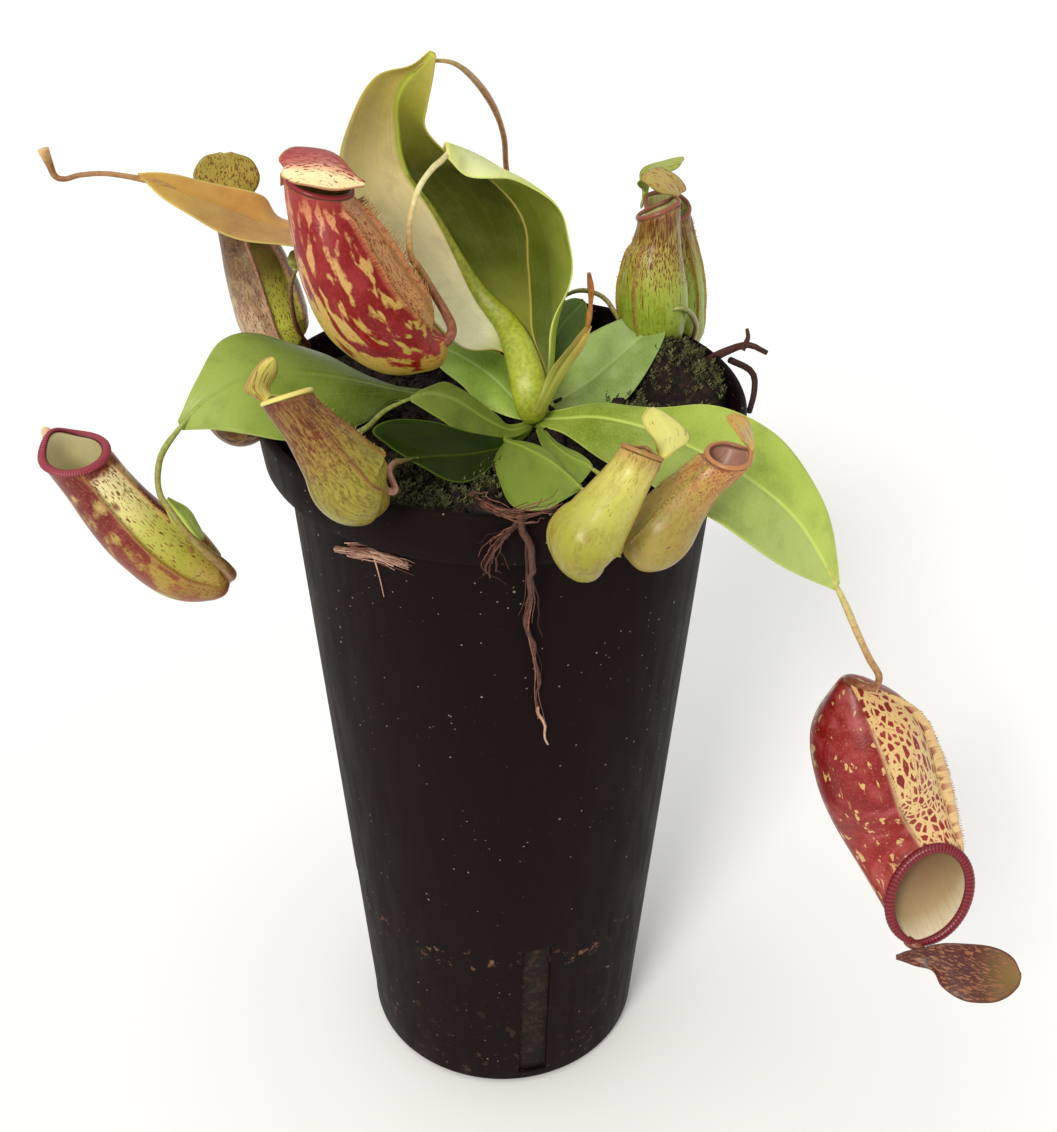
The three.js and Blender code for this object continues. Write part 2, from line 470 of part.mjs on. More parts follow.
// ---------------------------------------------------------------- leaves, each with its tendril
const leaves = {
  leaf_tall: {
    mid: [[536, 412, -4], [526, 368, 2], [510, 330, 8], [477, 289, 13], [436, 215, 17], [406, 172, 17],
      [397, 130, 14], [400, 90, 8], [433, 53, 2]],
    left: [[526, 414, -6], [517, 368, -1], [498, 350, 0], [456, 344, 1], [392, 275, 3], [350, 210, 4],
      [341, 158, 4], [354, 108, 4], [376, 78, 4], [409, 66, 3], [430, 51, 2]],
    right: [[548, 414, -6], [546, 370, -1], [531, 326, 5], [530, 265, 7], [524, 223, 7], [495, 181, 5],
      [466, 168, 3], [440, 148, 2], [426, 127, 2], [428, 106, 2], [436, 56, 1]],
    rows: 13, half: 2, fold: 0.1, color: '#6f7f35',
    tendril: {
      path: [[431, 55, 2], [445, 61, 4], [462, 68, 9], [480, 86, 20], [495, 110, 30], [504, 138, 39],
        [507, 173, 46], [518, 215, 51], [529, 255, 52], [531, 292, 49]],
      radii: [0.9, 0.8, 0.9, 1.3],
    },
  },
  leaf_hood: {
    mid: [[541, 412, 0], [550, 360, 18], [552, 300, 30], [545, 240, 34], [524, 192, 26], [488, 164, 12],
      [446, 144, -6]],
    left: [[536, 412, 2], [522, 350, 28], [500, 290, 38], [485, 235, 38], [472, 200, 30], [455, 172, 18],
      [443, 148, -3]],
    right: [[546, 412, 0], [549, 340, 12], [568, 288, 16], [572, 250, 16], [562, 214, 14], [530, 186, 8],
      [492, 179, -3], [466, 174, -7], [447, 158, -9]],
    rows: 12, half: 2, fold: 0, color: '#7c9630',
    tendril: {
      path: [[449, 149, -6], [442, 160, -11], [432, 169, -15], [420, 186, -20], [413, 206, -23],
        [409, 229, -24],
        [411, 256, -23], [419, 268, -22], [434, 292, -20], [449, 316, -22], [457, 334, -28], [449, 343, -30]],
      radii: [0.7, 0.7, 0.75, 0.9, 1.1, 1.3],
      steps: 18,
    },
  },
  leaf_left: {
    mid: [[532, 416, 0], [500, 405, 2], [460, 400, 2], [408, 392, -3], [330, 376, -14], [260, 374, -22],
      [212, 396, -27], [180, 426, -30]],
    left: [[530, 421, -2], [500, 411, 0], [460, 406, -1], [400, 400, -8], [362, 424, -22], [300, 441, -32],
      [247, 434, -35], [213, 430, -33], [183, 430, -30]],
    right: [[534, 411, 2], [500, 400, 4], [460, 394, 4], [408, 388, 0], [362, 374, 0], [317, 352, 0],
      [262, 334, -6], [221, 342, -14], [196, 380, -24], [178, 421, -30]],
    rows: 12, half: 2, fold: 0.25, color: '#6f8f2e',
    tendril: {
      path: [[183, 420, -30], [165, 448, -33], [158, 471, -35], [159, 494, -35], [170, 516, -32],
        [190, 538, -31], [212, 556, -33], [230, 570, -38], [229, 577, -42]],
      radii: [0.8, 0.75, 0.8, 1.1],
      steps: 14,
    },
  },
  leaf_right: {
    mid: [[536, 420, -5], [562, 419, -11], [600, 418, -18], [650, 430, -28], [700, 452, -40],
      [756, 484, -50],
      [800, 525, -50], [837, 586, -48]],
    left: [[536, 414, -2], [560, 410, -8], [602, 402, -12], [650, 408, -20], [703, 404, -28],
      [745, 416, -34],
      [785, 442, -40], [815, 486, -44], [833, 530, -46], [840, 583, -48]],
    right: [[536, 426, -8], [560, 432, -16], [601, 459, -32], [650, 484, -53], [708, 517, -63],
      [748, 543, -63],
      [790, 571, -56], [834, 590, -48]],
    rows: 12, half: 2, fold: 0.35, color: '#7ea03a',
    tendril: {
      path: [[835, 580, -48], [845, 604, -47], [857, 632, -46], [869, 658, -45], [879, 678, -44],
        [874, 690, -43], [862, 688, -42], [848, 680, -42]],
      radii: [0.9, 0.9, 1, 1.3],
      steps: 13,
    },
  },
  leaf_orange: {
    mid: [[530, 408, 3], [480, 342, 20], [402, 262, 30], [340, 234, 26], [290, 229, 18],
      [240, 213, 12], [190, 194, 5],
      [139, 176, 0]],
    left: [[526, 410, 2], [470, 350, 16], [398, 275, 24], [340, 251, 17], [295, 247, 8],
      [239, 239, 2], [176, 208, -2],
      [142, 179, 0]],
    right: [[534, 405, 4], [484, 332, 26], [406, 250, 36], [345, 222, 33], [284, 218, 24], [262, 196, 20],
      [225, 186, 14], [165, 173, 4], [138, 173, 0]],
    rows: 12, half: 2, fold: 0.8, color: '#a8763a',
    tendril: {
      path: [[143, 176, 0], [110, 174, -1], [81, 175, -2], [65, 179, -3], [55, 176, -3], [49, 163, -3],
        [43, 149, -3]],
      radii: [0.8, 0.7, 0.7, 0.8, 1.2, 1.3],
      steps: 11,
    },
  },
  leaf_behind: {
    mid: [[530, 412, 4], [480, 362, 16], [400, 304, 24], [340, 276, 20], [290, 262, 15]],
    left: [[526, 413, 3], [474, 370, 11], [396, 318, 17], [340, 291, 13], [298, 272, 13], [288, 264, 15]],
    right: [[532, 410, 5], [486, 352, 20], [404, 290, 29], [342, 262, 26], [296, 250, 19], [287, 259, 15]],
    rows: 11, half: 2, color: '#86943e',
    tendril: {
      path: [[294, 263, 15], [291, 285, 17], [293, 313, 20], [300, 334, 25], [308, 346, 30]],
      radii: [0.7, 0.7, 1],
      steps: 8,
    },
  },
  leaf_front_left: {
    mid: [[534, 424, -6], [510, 430, -13], [485, 419, -17], [455, 400, -21], [428, 393, -25],
      [410, 399, -27]],
    left: [[532, 428, -8], [508, 442, -18], [489, 447, -23], [466, 436, -25], [439, 419, -27],
      [412, 402, -27.5]],
    right: [[534, 420, -6], [510, 424, -11], [497, 415, -13], [480, 402, -14], [463, 389, -15],
      [446, 381, -17],
      [430, 386, -22], [411, 396, -26.5]],
    rows: 10, half: 2, fold: 0.6, color: '#6a8232',
    tendril: {
      path: [[414, 399, -27], [386, 410, -30], [363, 430, -34], [335, 437, -34], [302, 426, -27],
        [280, 413, -20], [267, 416, -13]],
      radii: [0.8, 0.8, 0.9],
      steps: 10,
    },
  },
  leaf_low_left: {
    mid: [[532, 430, -9], [505, 446, -21], [470, 454, -29], [438, 456, -36], [408, 459, -42]],
    left: [[530, 434, -11], [500, 458, -27], [480, 477, -37], [463, 483, -41], [444, 479, -43],
      [422, 466, -43],
      [410, 462, -42]],
    right: [[533, 428, -8], [508, 438, -18], [470, 432, -25], [430, 421, -29], [391, 420, -33],
      [372, 431, -36],
      [388, 445, -39], [406, 457, -42]],
    rows: 10, half: 2, fold: 0.3, color: '#5f7a2c',
    tendril: {
      path: [[412, 459, -42], [403, 461, -47], [394, 463, -54], [389, 472, -61], [395, 490, -66]],
      radii: [0.7, 0.7, 0.9],
      steps: 7,
    },
  },
  leaf_folded: {
    mid: [[528, 432, -10], [506, 442, -20], [524, 450, -29], [550, 464, -38], [580, 488, -48]],
    left: [[526, 436, -12], [497, 454, -25], [500, 482, -40], [513, 506, -53], [542, 511, -57],
      [562, 502, -54], [580, 491, -48]],
    right: [[530, 430, -9], [512, 438, -17], [528, 443, -24], [554, 457, -33], [582, 486, -47]],
    rows: 11, half: 2, fold: 0.4, color: '#86a83c',
    tendril: {
      path: [[577, 486, -47], [592, 498, -58], [601, 520, -69], [604, 548, -71], [606, 566, -76],
        [600, 575, -82]],
      radii: [0.7, 0.8, 1],
      steps: 8,
    },
  },
  leaf_folded_behind: {
    mid: [[538, 428, -9], [552, 446, -24], [572, 460, -33], [592, 468, -38]],
    left: [[536, 431, -11], [545, 452, -29], [560, 474, -39], [577, 485, -44], [591, 471, -39]],
    right: [[540, 426, -8], [556, 440, -20], [576, 452, -28], [593, 466, -37]],
    rows: 8, half: 2, fold: 0.4, color: '#5a7a2e',
    tendril: {
      path: [[589, 468, -38], [604, 478, -48], [616, 494, -60], [622, 520, -69], [626, 544, -72],
        [632, 554, -72]],
      radii: [0.7, 0.8, 1],
      steps: 8,
    },
  },
  leaf_shaded: {
    mid: [[532, 418, -4], [514, 400, -3], [490, 376, 1], [456, 354, 6], [425, 343, 10]],
    left: [[530, 422, -6], [505, 416, -8], [480, 404, -7], [463, 386, -4], [440, 368, 2], [424, 346, 9]],
    right: [[534, 414, -2], [522, 384, 4], [505, 358, 8], [465, 342, 12], [426, 340, 11]],
    rows: 10, half: 2, fold: 0.2, color: '#4f7030',
  },
  leaf_grey_right: {
    mid: [[540, 416, 0], [558, 402, 6], [590, 381, 12], [624, 352, 18], [667, 315, 23]],
    left: [[537, 412, 2], [550, 385, 12], [564, 351, 21], [592, 333, 24], [624, 318, 26],
      [650, 310, 26], [666, 312, 23]],
    right: [[543, 419, -2], [562, 411, 0], [592, 411, -1], [620, 403, 3], [641, 380, 9],
      [660, 349, 16], [669, 321, 22]],
    rows: 11, half: 2, fold: 0.35, color: '#6f8f5a',
    tendril: {
      path: [[663, 317, 23], [678, 310, 24], [688, 313, 27], [693, 325, 33], [691, 342, 39],
        [685, 352, 42]],
      radii: [0.8, 0.8, 1],
      steps: 8,
    },
  },
  leaf_narrow_back: {
    mid: [[541, 410, 3], [545, 380, 14], [550, 352, 24], [563, 324, 33], [584, 301, 41]],
    left: [[538, 409, 4], [539, 376, 16], [537, 346, 28], [550, 314, 37], [570, 299, 42], [583, 299, 41]],
    right: [[543, 410, 2], [552, 382, 11], [560, 360, 19], [582, 334, 30], [587, 313, 37], [586, 303, 41]],
    rows: 9, half: 2, fold: 0.4, color: '#4a6a30',
  },
  leaf_hidden_back: {
    mid: [[536, 410, 5], [532, 372, 26], [528, 342, 42], [538, 318, 52], [560, 298, 56]],
    left: [[533, 410, 5], [522, 372, 29], [512, 342, 46], [522, 314, 58], [548, 296, 60], [559, 296, 56]],
    right: [[538, 409, 5], [541, 372, 23], [545, 345, 38], [554, 322, 47], [563, 301, 55]],
    rows: 9, half: 2, fold: 0.3, color: '#557a30',
    tendril: {
      path: [[556, 300, 56], [573, 292, 54], [588, 291, 50], [604, 298, 45], [616, 314, 40], [634, 342, 35],
        [655, 354, 31], [669, 352, 30]],
      radii: [0.7, 0.7, 0.9, 1.1],
      steps: 11,
    },
  },
  leaf_spear: {
    mid: [[536, 416, -6], [543, 394, -6], [560, 366, -3], [578, 344, 0], [589, 326, 2]],
    left: [[532, 413, -6], [538, 389, -6], [556, 361, -4], [574, 339, 0], [587, 325, 2]],
    right: [[540, 418, -6], [552, 399, -6], [568, 372, -4], [583, 348, 0], [592, 326, 2]],
    rows: 8, half: 2, fold: 0.5, color: '#9a9a3e',
    tendril: {
      path: [[587, 330, 1.5], [590, 310, 2], [591, 292, 2], [589, 273, 2]],
      radii: [0.8, 0.6, 0.9, 0.5],
      steps: 7,
    },
  },
};

// ---------------------------------------------------------------- the pot and what fills it
function potBody() {
  const { height, rimRadius, bandFootRadius, shoulderRadius, baseRadius, baseRound, wall, floor } = pot;
  const bandFoot = height - pot.bandHeight;
  const profile = [
    [0, 0],
    [baseRadius - baseRound, 0],
    [baseRadius - 0.8, 0.9],
    [baseRadius, baseRound],
    [shoulderRadius, bandFoot],
    [bandFootRadius, bandFoot],
    [rimRadius - 0.2, height - 1.4],
    [rimRadius - 0.7, height - 0.3],
    [rimRadius - 1.4, height],
    [rimRadius - 2.2, height - 0.5],
    [rimRadius - 2.6, height - 2],
    [bandFootRadius - wall - 0.6, bandFoot + 2],
    [shoulderRadius - wall, bandFoot - 2],
    [baseRadius - wall + 0.3, floor],
    [0, floor],
  ];
  const shell = new THREE.LatheGeometry(profile.map(([r, z]) => new THREE.Vector2(r, z)), 36);
  shell.rotateX(Math.PI / 2);
  let body = bodyOf(shell);
  for (let i = 0; i < pot.slotCount; i += 1) {
    const slot = new THREE.BoxGeometry(pot.slotWidth, 14, pot.slotHeight);
    slot.translate(0, -baseRadius, pot.slotFoot + pot.slotHeight / 2);
    slot.rotateZ((2 * Math.PI * i) / pot.slotCount + Math.asin(pot.frontSlotX / baseRadius));
    body = body.subtract(bodyOf(slot));
  }
  return body;
}

// The room that the rim and the pot's side need, so that what hangs over them stays touchGap clear.
function potRoom() {
  const { height, rimRadius, bandHeight, bandFootRadius, shoulderRadius, baseRadius } = pot;
  const profile = [
    [rimRadius + touchGap + 0.1, height - bandHeight],
    [rimRadius + touchGap + 0.1, height + touchGap],
    [rimRadius - 2.6 - touchGap, height + touchGap],
    [bandFootRadius - pot.wall - 0.6 - touchGap, height - bandHeight + 3],
    [bandFootRadius - pot.wall, height - bandHeight],
    [rimRadius + touchGap + 0.1, height - bandHeight],
  ];
  const side = [
    [baseRadius - 0.5, pot.baseRound],
    [baseRadius + touchGap + 0.05, pot.baseRound],
    [shoulderRadius + touchGap + 0.05, height - bandHeight],
    [shoulderRadius - 0.5, height - bandHeight],
    [baseRadius - 0.5, pot.baseRound],
  ];
  const [rim, wall] = [profile, side].map((outline) => {
    const ring = new THREE.LatheGeometry(outline.map(([r, z]) => new THREE.Vector2(r, z)), 36);
    ring.rotateX(Math.PI / 2);
    return bodyOf(ring);
  });
  return rim.add(wall);
}

// The pot's inner radius at a height, for what fills it.
function innerRadius(z) {
  const low = pot.floor;
  const high = pot.height - pot.bandHeight - 2;
  const share = (z - low) / (high - low);
  return THREE.MathUtils.lerp(pot.baseRadius - pot.wall + 0.3, pot.shoulderRadius - pot.wall, share);
}

// The peat's top rolls gently, a little higher at the back right where it is heaped.
function peatHeight(x, y) {
  return soilTop + 0.7 * Math.sin(x * 0.23 + 1) * Math.cos(y * 0.19) + 0.5 * Math.sin(x * 0.51 - y * 0.43)
    + 3 * Math.exp(-((x - 44) ** 2 + (y - 30) ** 2) / 500);
}

function peat() {
  const sides = 30;
  const radii = [0.92, 0.7, 0.45, 0.2];
  const rings = [];
  const floorZ = pot.floor + touchGap;
  const bandFoot = pot.height - pot.bandHeight;
  const edgeZ = soilTop - 1;
  const levels = [
    [floorZ, innerRadius(floorZ)],
    [bandFoot - 2, innerRadius(bandFoot - 2)],
    [edgeZ, pot.bandFootRadius - pot.wall - 0.6],
  ];
  levels.forEach(([z, radius]) => {
    rings.push(Array.from({ length: sides }, (_, j) => {
      const angle = (2 * Math.PI * j) / sides;
      const reach = radius - touchGap - 0.35;
      return new THREE.Vector3(Math.cos(angle) * reach, Math.sin(angle) * reach, z);
    }));
  });
  radii.forEach((share) => {
    rings.push(Array.from({ length: sides }, (_, j) => {
      const angle = (2 * Math.PI * j) / sides;
      const x = Math.cos(angle) * share * 60;
      const y = Math.sin(angle) * share * 60;
      return new THREE.Vector3(x, y, peatHeight(x, y));
    }));
  });
  return closedRings(rings, new THREE.Vector3(0, 0, floorZ), new THREE.Vector3(0, 0, peatHeight(0, 0)));
}

function crown(swell = 0) {
  const { x, y, radius, foot, top } = crownAt;
  const profile = [
    [0, foot - swell],
    [radius * 0.7 + swell, foot - swell],
    [radius + swell, foot + 3],
    [radius + swell, top - 3],
    [radius * 0.75 + swell, top - 0.8 + swell],
    [0, top + swell],
  ];
  const stem = new THREE.LatheGeometry(profile.map(([r, z]) => new THREE.Vector2(r, z)), 12);
  stem.rotateX(Math.PI / 2);
  stem.translate(x, y, 0);
  return bodyOf(stem);
}

// A low heap with a rough top that follows the peat, touchGap above it.
function heap({ x, y, reachX, reachY, turn, height, sides, rough }) {
  const rings = [];
  const levels = [[0.97, 0], [1, 0.25], [0.82, 0.7], [0.45, 1]];
  const point = (share, rise, angle, k) => {
    const wobble = 1 + rough * (Math.sin(angle * 3 + x + k) * 0.5 + Math.sin(angle * 7 + y + 2 * k) * 0.5);
    const u = Math.cos(angle) * reachX * share * wobble;
    const v = Math.sin(angle) * reachY * share * wobble;
    const px = x + u * Math.cos(turn) - v * Math.sin(turn);
    const py = y + u * Math.sin(turn) + v * Math.cos(turn);
    const lump = 1 + 0.5 * rough * Math.sin(angle * 5 + 3 * k + x);
    return new THREE.Vector3(px, py, peatHeight(px, py) + 0.9 + rise * height * lump);
  };
  levels.forEach(([share, rise], k) => {
    rings.push(Array.from({ length: sides }, (_, j) => point(share, rise, (2 * Math.PI * j) / sides, k)));
  });
  const foot = new THREE.Vector3(x, y, peatHeight(x, y) + 0.9);
  return closedRings(rings, foot, point(0, 1.05, 0, 0));
}

// Numbers that look random and are the same on every run.
function seeded(seed) {
  let state = seed;
  return () => {
    state = (state * 1664525 + 1013904223) % 4294967296;
    return state / 4294967296;
  };
}

// Moss: a cushion that short pointed shoots grow out of.
function mossPatch(spec) {
  const draw = seeded(spec.seed);
  let body = heap(spec);
  for (let i = 0; i < spec.shoots; i += 1) {
    const angle = 2 * Math.PI * draw();
    const share = Math.sqrt(draw()) * 0.75;
    const x = spec.x + Math.cos(angle) * spec.reachX * share;
    const y = spec.y + Math.sin(angle) * spec.reachY * share;
    const tall = spec.height + 1.5 + 1.5 * draw();
    const shoot = new THREE.ConeGeometry(0.9, tall, 4);
    shoot.rotateX(Math.PI / 2);
    shoot.translate(0, 0, tall / 2);
    shoot.rotateY((draw() - 0.5) * 0.9);
    shoot.rotateX((draw() - 0.5) * 0.9);
    shoot.translate(x, y, peatHeight(x, y) + 1.4);
    body = body.add(bodyOf(shoot));
  }
  return body;
}

const moss = {
  x: -14,
  y: -38,
  reachX: 15,
  reachY: 11,
  turn: 0.3,
  height: 1.6,
  sides: 12,
  rough: 0.25,
  shoots: 8,
  seed: 11,
};
const clump = {
  x: 49,
  y: 14,
  reachX: 11,
  reachY: 18,
  turn: 0.3,
  height: 9,
  sides: 12,
  rough: 0.3,
  shoots: 6,
  seed: 5,
};
const clumpTwigs = [
  { path: [[700, 365, 24], [725, 352, 24], [748, 345, 22], [767, 353, 19]], radii: [2.4, 2, 1.1] },
  { path: [[742, 350, 22], [748, 338, 23], [747, 329, 23]], radii: [0.9, 0.5] },
  { path: [[730, 360, 22], [752, 372, 14], [754, 392, 8], [749, 412, 2]], radii: [1.6, 1.2, 1.4] },
];

// Rootlets that hang over the front rim and down the pot, and a scrap of root stuck to its side.
const rootTangle = [
  {
    path: [[470, 492, -51], [482, 502, -62], [500, 512, -67.3], [522, 516, -67.5], [545, 512, -66.9],
      [558, 505, -63.5]],
    radii: [0.7, 0.9, 1, 0.6],
  },
  {
    path: [[522, 514, -67.3], [526, 535, -67], [528, 553, -66.5], [530, 575, -63.4],
      [532, 600, -60.4], [527, 626, -59.2],
      [535, 665, -57], [536, 695, -55.6], [540, 715, -54.5], [547, 745, -53]],
    radii: [0.9, 1, 0.9, 0.8, 0.5],
  },
  {
    path: [[530, 515, -67.3], [510, 530, -67.2], [496, 545, -66.7], [489, 563, -66], [492, 578, -63.5]],
    radii: [0.8, 0.7, 0.5],
  },
];
const rootScrap = [
  {
    path: [[336, 549, -40.4], [353, 551, -45.5], [373, 554, -49.5], [392, 560, -52], [408, 564, -53.7]],
    radii: [0.9, 1.4, 1.1, 0.7],
  },
  { path: [[373, 554, -49.5], [379, 575, -49.4], [384, 597, -49.3]], radii: [0.6, 0.4] },
];

function roots(strands) {
  return strands.map((s) => strand(s.path, s.radii, 9, 4)).reduce((all, one) => all.add(one));
}

// ---------------------------------------------------------------- assembly
// Earlier pieces keep their shape; a later one is trimmed to stand touchGap clear of them.
const parts = new THREE.Group();
const settled = [];

function boxesMeet(a, b) {
  const p = a.boundingBox();
  const q = b.boundingBox();
  return [0, 1, 2].every((k) => p.min[k] < q.max[k] && q.min[k] < p.max[k]);
}

function largest(body) {
  const pieces = body.decompose();
  return pieces.reduce((best, one) => (one.volume() > best.volume() ? one : best));
}

function settle(name, body, wide, color, roughness) {
  let trimmed = body;
  for (const other of settled) {
    if (boxesMeet(trimmed, other) && trimmed.intersect(other).volume() > 1e-4) {
      trimmed = trimmed.subtract(other);
    }
  }
  trimmed = largest(trimmed);
  settled.push(wide);
  const mesh = new THREE.Mesh(
    geometryOf(trimmed),
    new THREE.MeshStandardMaterial({ color, roughness, metalness: 0, flatShading: true }),
  );
  mesh.name = name;
  parts.add(mesh);
}

const potSolid = potBody();
settle('pot', potSolid, potSolid.add(potRoom()), '#17181a', 0.45);
settle('crown', crown(), crown(touchGap), '#7f8f3a', 0.6);
const peatSolid = peat();
settle('peat', peatSolid, peatSolid, '#2a211a', 0.95);

for (const [name, pitcher] of Object.entries(pitchers)) {
  settle(name, cup(pitcher), cup(pitcher, touchGap), pitcher.color, 0.4);
  settle(`${name}_lip`, lip(pitcher), lip(pitcher, touchGap), '#7a1f22', 0.3);
  if (pitcher.lid) {
    const lid = lidOf(pitcher);
    settle(`${name}_lid`, blade(lid), blade(lid, touchGap), pitcher.color, 0.5);
  }
}

for (const [name, leaf] of Object.entries(leaves)) {
  let body = blade(leaf);
  let wide = blade(leaf, touchGap);
  if (leaf.tendril) {
    const { path, radii, steps = 10 } = leaf.tendril;
    body = body.add(strand(path, radii, steps, tendrilSides));
    wide = wide.add(strand(path, radii, steps, tendrilSides, touchGap));
  }
  settle(name, body, wide, leaf.color, 0.45);
}

for (const [name, spec, color] of [['moss', moss, '#5a6a3e'], ['peat_clump', clump, '#33291f']]) {
  let body = mossPatch(spec);
  for (const twig of spec === clump ? clumpTwigs : []) body = body.add(strand(twig.path, twig.radii, 5, 5));
  settle(name, body, body, color, 0.95);
}
const tangleBody = roots(rootTangle);
settle('root_tangle', tangleBody, tangleBody, '#5a3a2c', 0.9);
const scrapBody = roots(rootScrap);
settle('root_scrap', scrapBody, scrapBody, '#6a4a3a', 0.9);

export default parts;
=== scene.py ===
# Potted pitcher plant: a young hybrid with hanging pitchers in a tall black nursery pot.
# Shapes are worked out in millimetres in the part's own frame and turned to metres for Blender.
import functools
import math
import random

import bmesh
import bpy
import numpy as np
from mathutils import Matrix, Vector, noise


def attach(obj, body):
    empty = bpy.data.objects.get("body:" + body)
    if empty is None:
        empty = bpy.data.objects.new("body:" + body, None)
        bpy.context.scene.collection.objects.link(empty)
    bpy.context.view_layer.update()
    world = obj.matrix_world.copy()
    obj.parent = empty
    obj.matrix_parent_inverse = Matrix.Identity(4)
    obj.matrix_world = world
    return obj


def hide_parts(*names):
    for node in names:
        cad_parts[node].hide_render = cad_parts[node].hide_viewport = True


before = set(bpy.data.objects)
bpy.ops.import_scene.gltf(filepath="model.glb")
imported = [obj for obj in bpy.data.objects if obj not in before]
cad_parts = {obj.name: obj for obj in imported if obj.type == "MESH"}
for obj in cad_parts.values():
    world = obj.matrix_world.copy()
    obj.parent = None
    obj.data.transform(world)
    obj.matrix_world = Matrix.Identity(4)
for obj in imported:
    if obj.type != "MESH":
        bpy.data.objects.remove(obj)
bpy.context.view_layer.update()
print("frame loaded:", len(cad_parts), "nodes")

# The plant's points are places in the photograph, with the depth in mm behind the pot's axis.
view = {
    "focal": 1500, "middle": (528.5, 566), "back": 358.6, "height": 404.7, "side": 7.46,
    "imageHeight": 1132, "pitch": 0.5772, "roll": -0.0084,
}
soilTop = 219


def place(point):
    a = (point[0] - view["middle"][0]) / view["focal"]
    b = (view["middle"][1] - point[1]) / view["focal"]
    across = a * math.cos(view["roll"]) + b * math.sin(view["roll"])
    up = b * math.cos(view["roll"]) - a * math.sin(view["roll"])
    reach = (point[2] + view["back"]) / (math.cos(view["pitch"]) + up * math.sin(view["pitch"]))
    rise = reach * (up * math.cos(view["pitch"]) - math.sin(view["pitch"]))
    return np.array([view["side"] + reach * across, point[2], view["height"] + rise])


def unit(vectors):
    return vectors / np.maximum(np.linalg.norm(vectors, axis=-1, keepdims=True), 1e-9)


def smoothStep(x, low, high):
    share = np.clip((x - low) / (high - low), 0, 1)
    return share * share * (3 - 2 * share)


def smoothCurve(points, shares):
    points = np.asarray(points, float)
    last = len(points) - 2
    padded = np.vstack([2 * points[0] - points[1], points, 2 * points[-1] - points[-2]])
    x = np.clip(np.asarray(shares, float), 0, 1) * (last + 1)
    k = np.minimum(x.astype(int), last)
    f = (x - k)[:, None]
    before, start, end, after = (padded[k + i] for i in range(4))
    leave = (end - before) / 2
    arrive = (after - start) / 2
    bend = 3 * (end - start) - 2 * leave - arrive
    return start + leave * f + bend * f**2 + (2 * (start - end) + leave + arrive) * f**3


def evenCurve(points, shares):
    fine = np.linspace(0, 1, 500)
    steps = np.linalg.norm(np.diff(smoothCurve(points, fine), axis=0), axis=1)
    run = np.concatenate([[0], np.cumsum(steps)])
    return smoothCurve(points, np.interp(np.asarray(shares) * run[-1], run, fine))


def placeAll(path):
    return np.array([place(p) for p in path])


def radiiAlong(radii, shares):
    return smoothCurve([[r, 0, 0] for r in radii], shares)[:, 0]


def lumps(points, size, seed=0):
    # gentle noise from -1 to 1 whose lumps are about size mm across
    flat = points.reshape(-1, 3) / size
    shift = Vector((seed * 7.3, seed * 3.1, seed * 5.7))
    return np.array([noise.noise(Vector(p) + shift) for p in flat]).reshape(points.shape[:-1])


def tubeFaces(rows, columns, offset=0):
    i = np.arange(rows - 1)[:, None]
    j = np.arange(columns)[None, :]
    a = i * columns + j
    b = i * columns + (j + 1) % columns
    sides = (np.stack([a, b, b + columns, a + columns], -1).reshape(-1, 4) + offset).tolist()
    start = [offset + k for k in range(columns)][::-1]
    end = [offset + (rows - 1) * columns + k for k in range(columns)]
    return sides + [start, end]


def addObject(name, data):
    made = bpy.data.objects.new(name, data)
    bpy.context.scene.collection.objects.link(made)
    return made


def addPiece(name, points, faces, material, nodes, marks=None, smooth=True):
    mesh = bpy.data.meshes.new(name)
    mesh.from_pydata((points.reshape(-1, 3) * 0.001).tolist(), [], faces)
    for mark, values in (marks or {}).items():
        kind, field = ("FLOAT", "value") if values.shape[-1:] != (3,) else ("FLOAT_VECTOR", "vector")
        layer = mesh.attributes.new(mark, kind, "POINT")
        layer.data.foreach_set(field, values.astype(np.float32).ravel())
    form = bmesh.new()
    form.from_mesh(mesh)
    bmesh.ops.recalc_face_normals(form, faces=form.faces)
    form.to_mesh(mesh)
    form.free()
    if smooth:
        mesh.shade_smooth()
    mesh.materials.append(material)
    piece = addObject(name, mesh)
    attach(piece, "root")
    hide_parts(*nodes)
    return piece


def growTube(name, rings, material, nodes):
    # a closed tube whose tone runs along it
    rows, sides = rings.shape[:2]
    run = np.repeat(np.linspace(0, 1, rows), sides)
    marks = {"tendrilPlace": np.stack([run, run * 0, run * 0], -1)}
    addPiece(name, rings, tubeFaces(rows, sides), material, nodes, marks)


def roundLine(points, radii, sides):
    # rings round a line of points, with a radius for each
    ahead = unit(np.gradient(points, axis=0))
    front = np.array([0.3, -0.8, 0.5])
    rings = []
    turn = np.linspace(0, 2 * math.pi, sides, endpoint=False)
    for point, way, radius in zip(points, ahead, radii):
        front = unit(front - way * front.dot(way))
        side = np.cross(way, front)
        rings.append(point + radius * (np.outer(np.cos(turn), front) + np.outer(np.sin(turn), side)))
    return np.array(rings)


def toLinear(hexColour):
    parts = [int(hexColour[i:i + 2], 16) / 255 for i in (1, 3, 5)]
    return [c / 12.92 if c <= 0.04045 else ((c + 0.055) / 1.055) ** 2.4 for c in parts] + [1]


def feed(tree, node, inputs):
    # inputs, by place or name, are other nodes' sockets, numbers or sRGB hex colours
    for key, value in inputs.items() if isinstance(inputs, dict) else enumerate(inputs):
        if isinstance(value, bpy.types.NodeSocket):
            tree.links.new(value, node.inputs[key])
        else:
            node.inputs[key].default_value = toLinear(value) if isinstance(value, str) else value


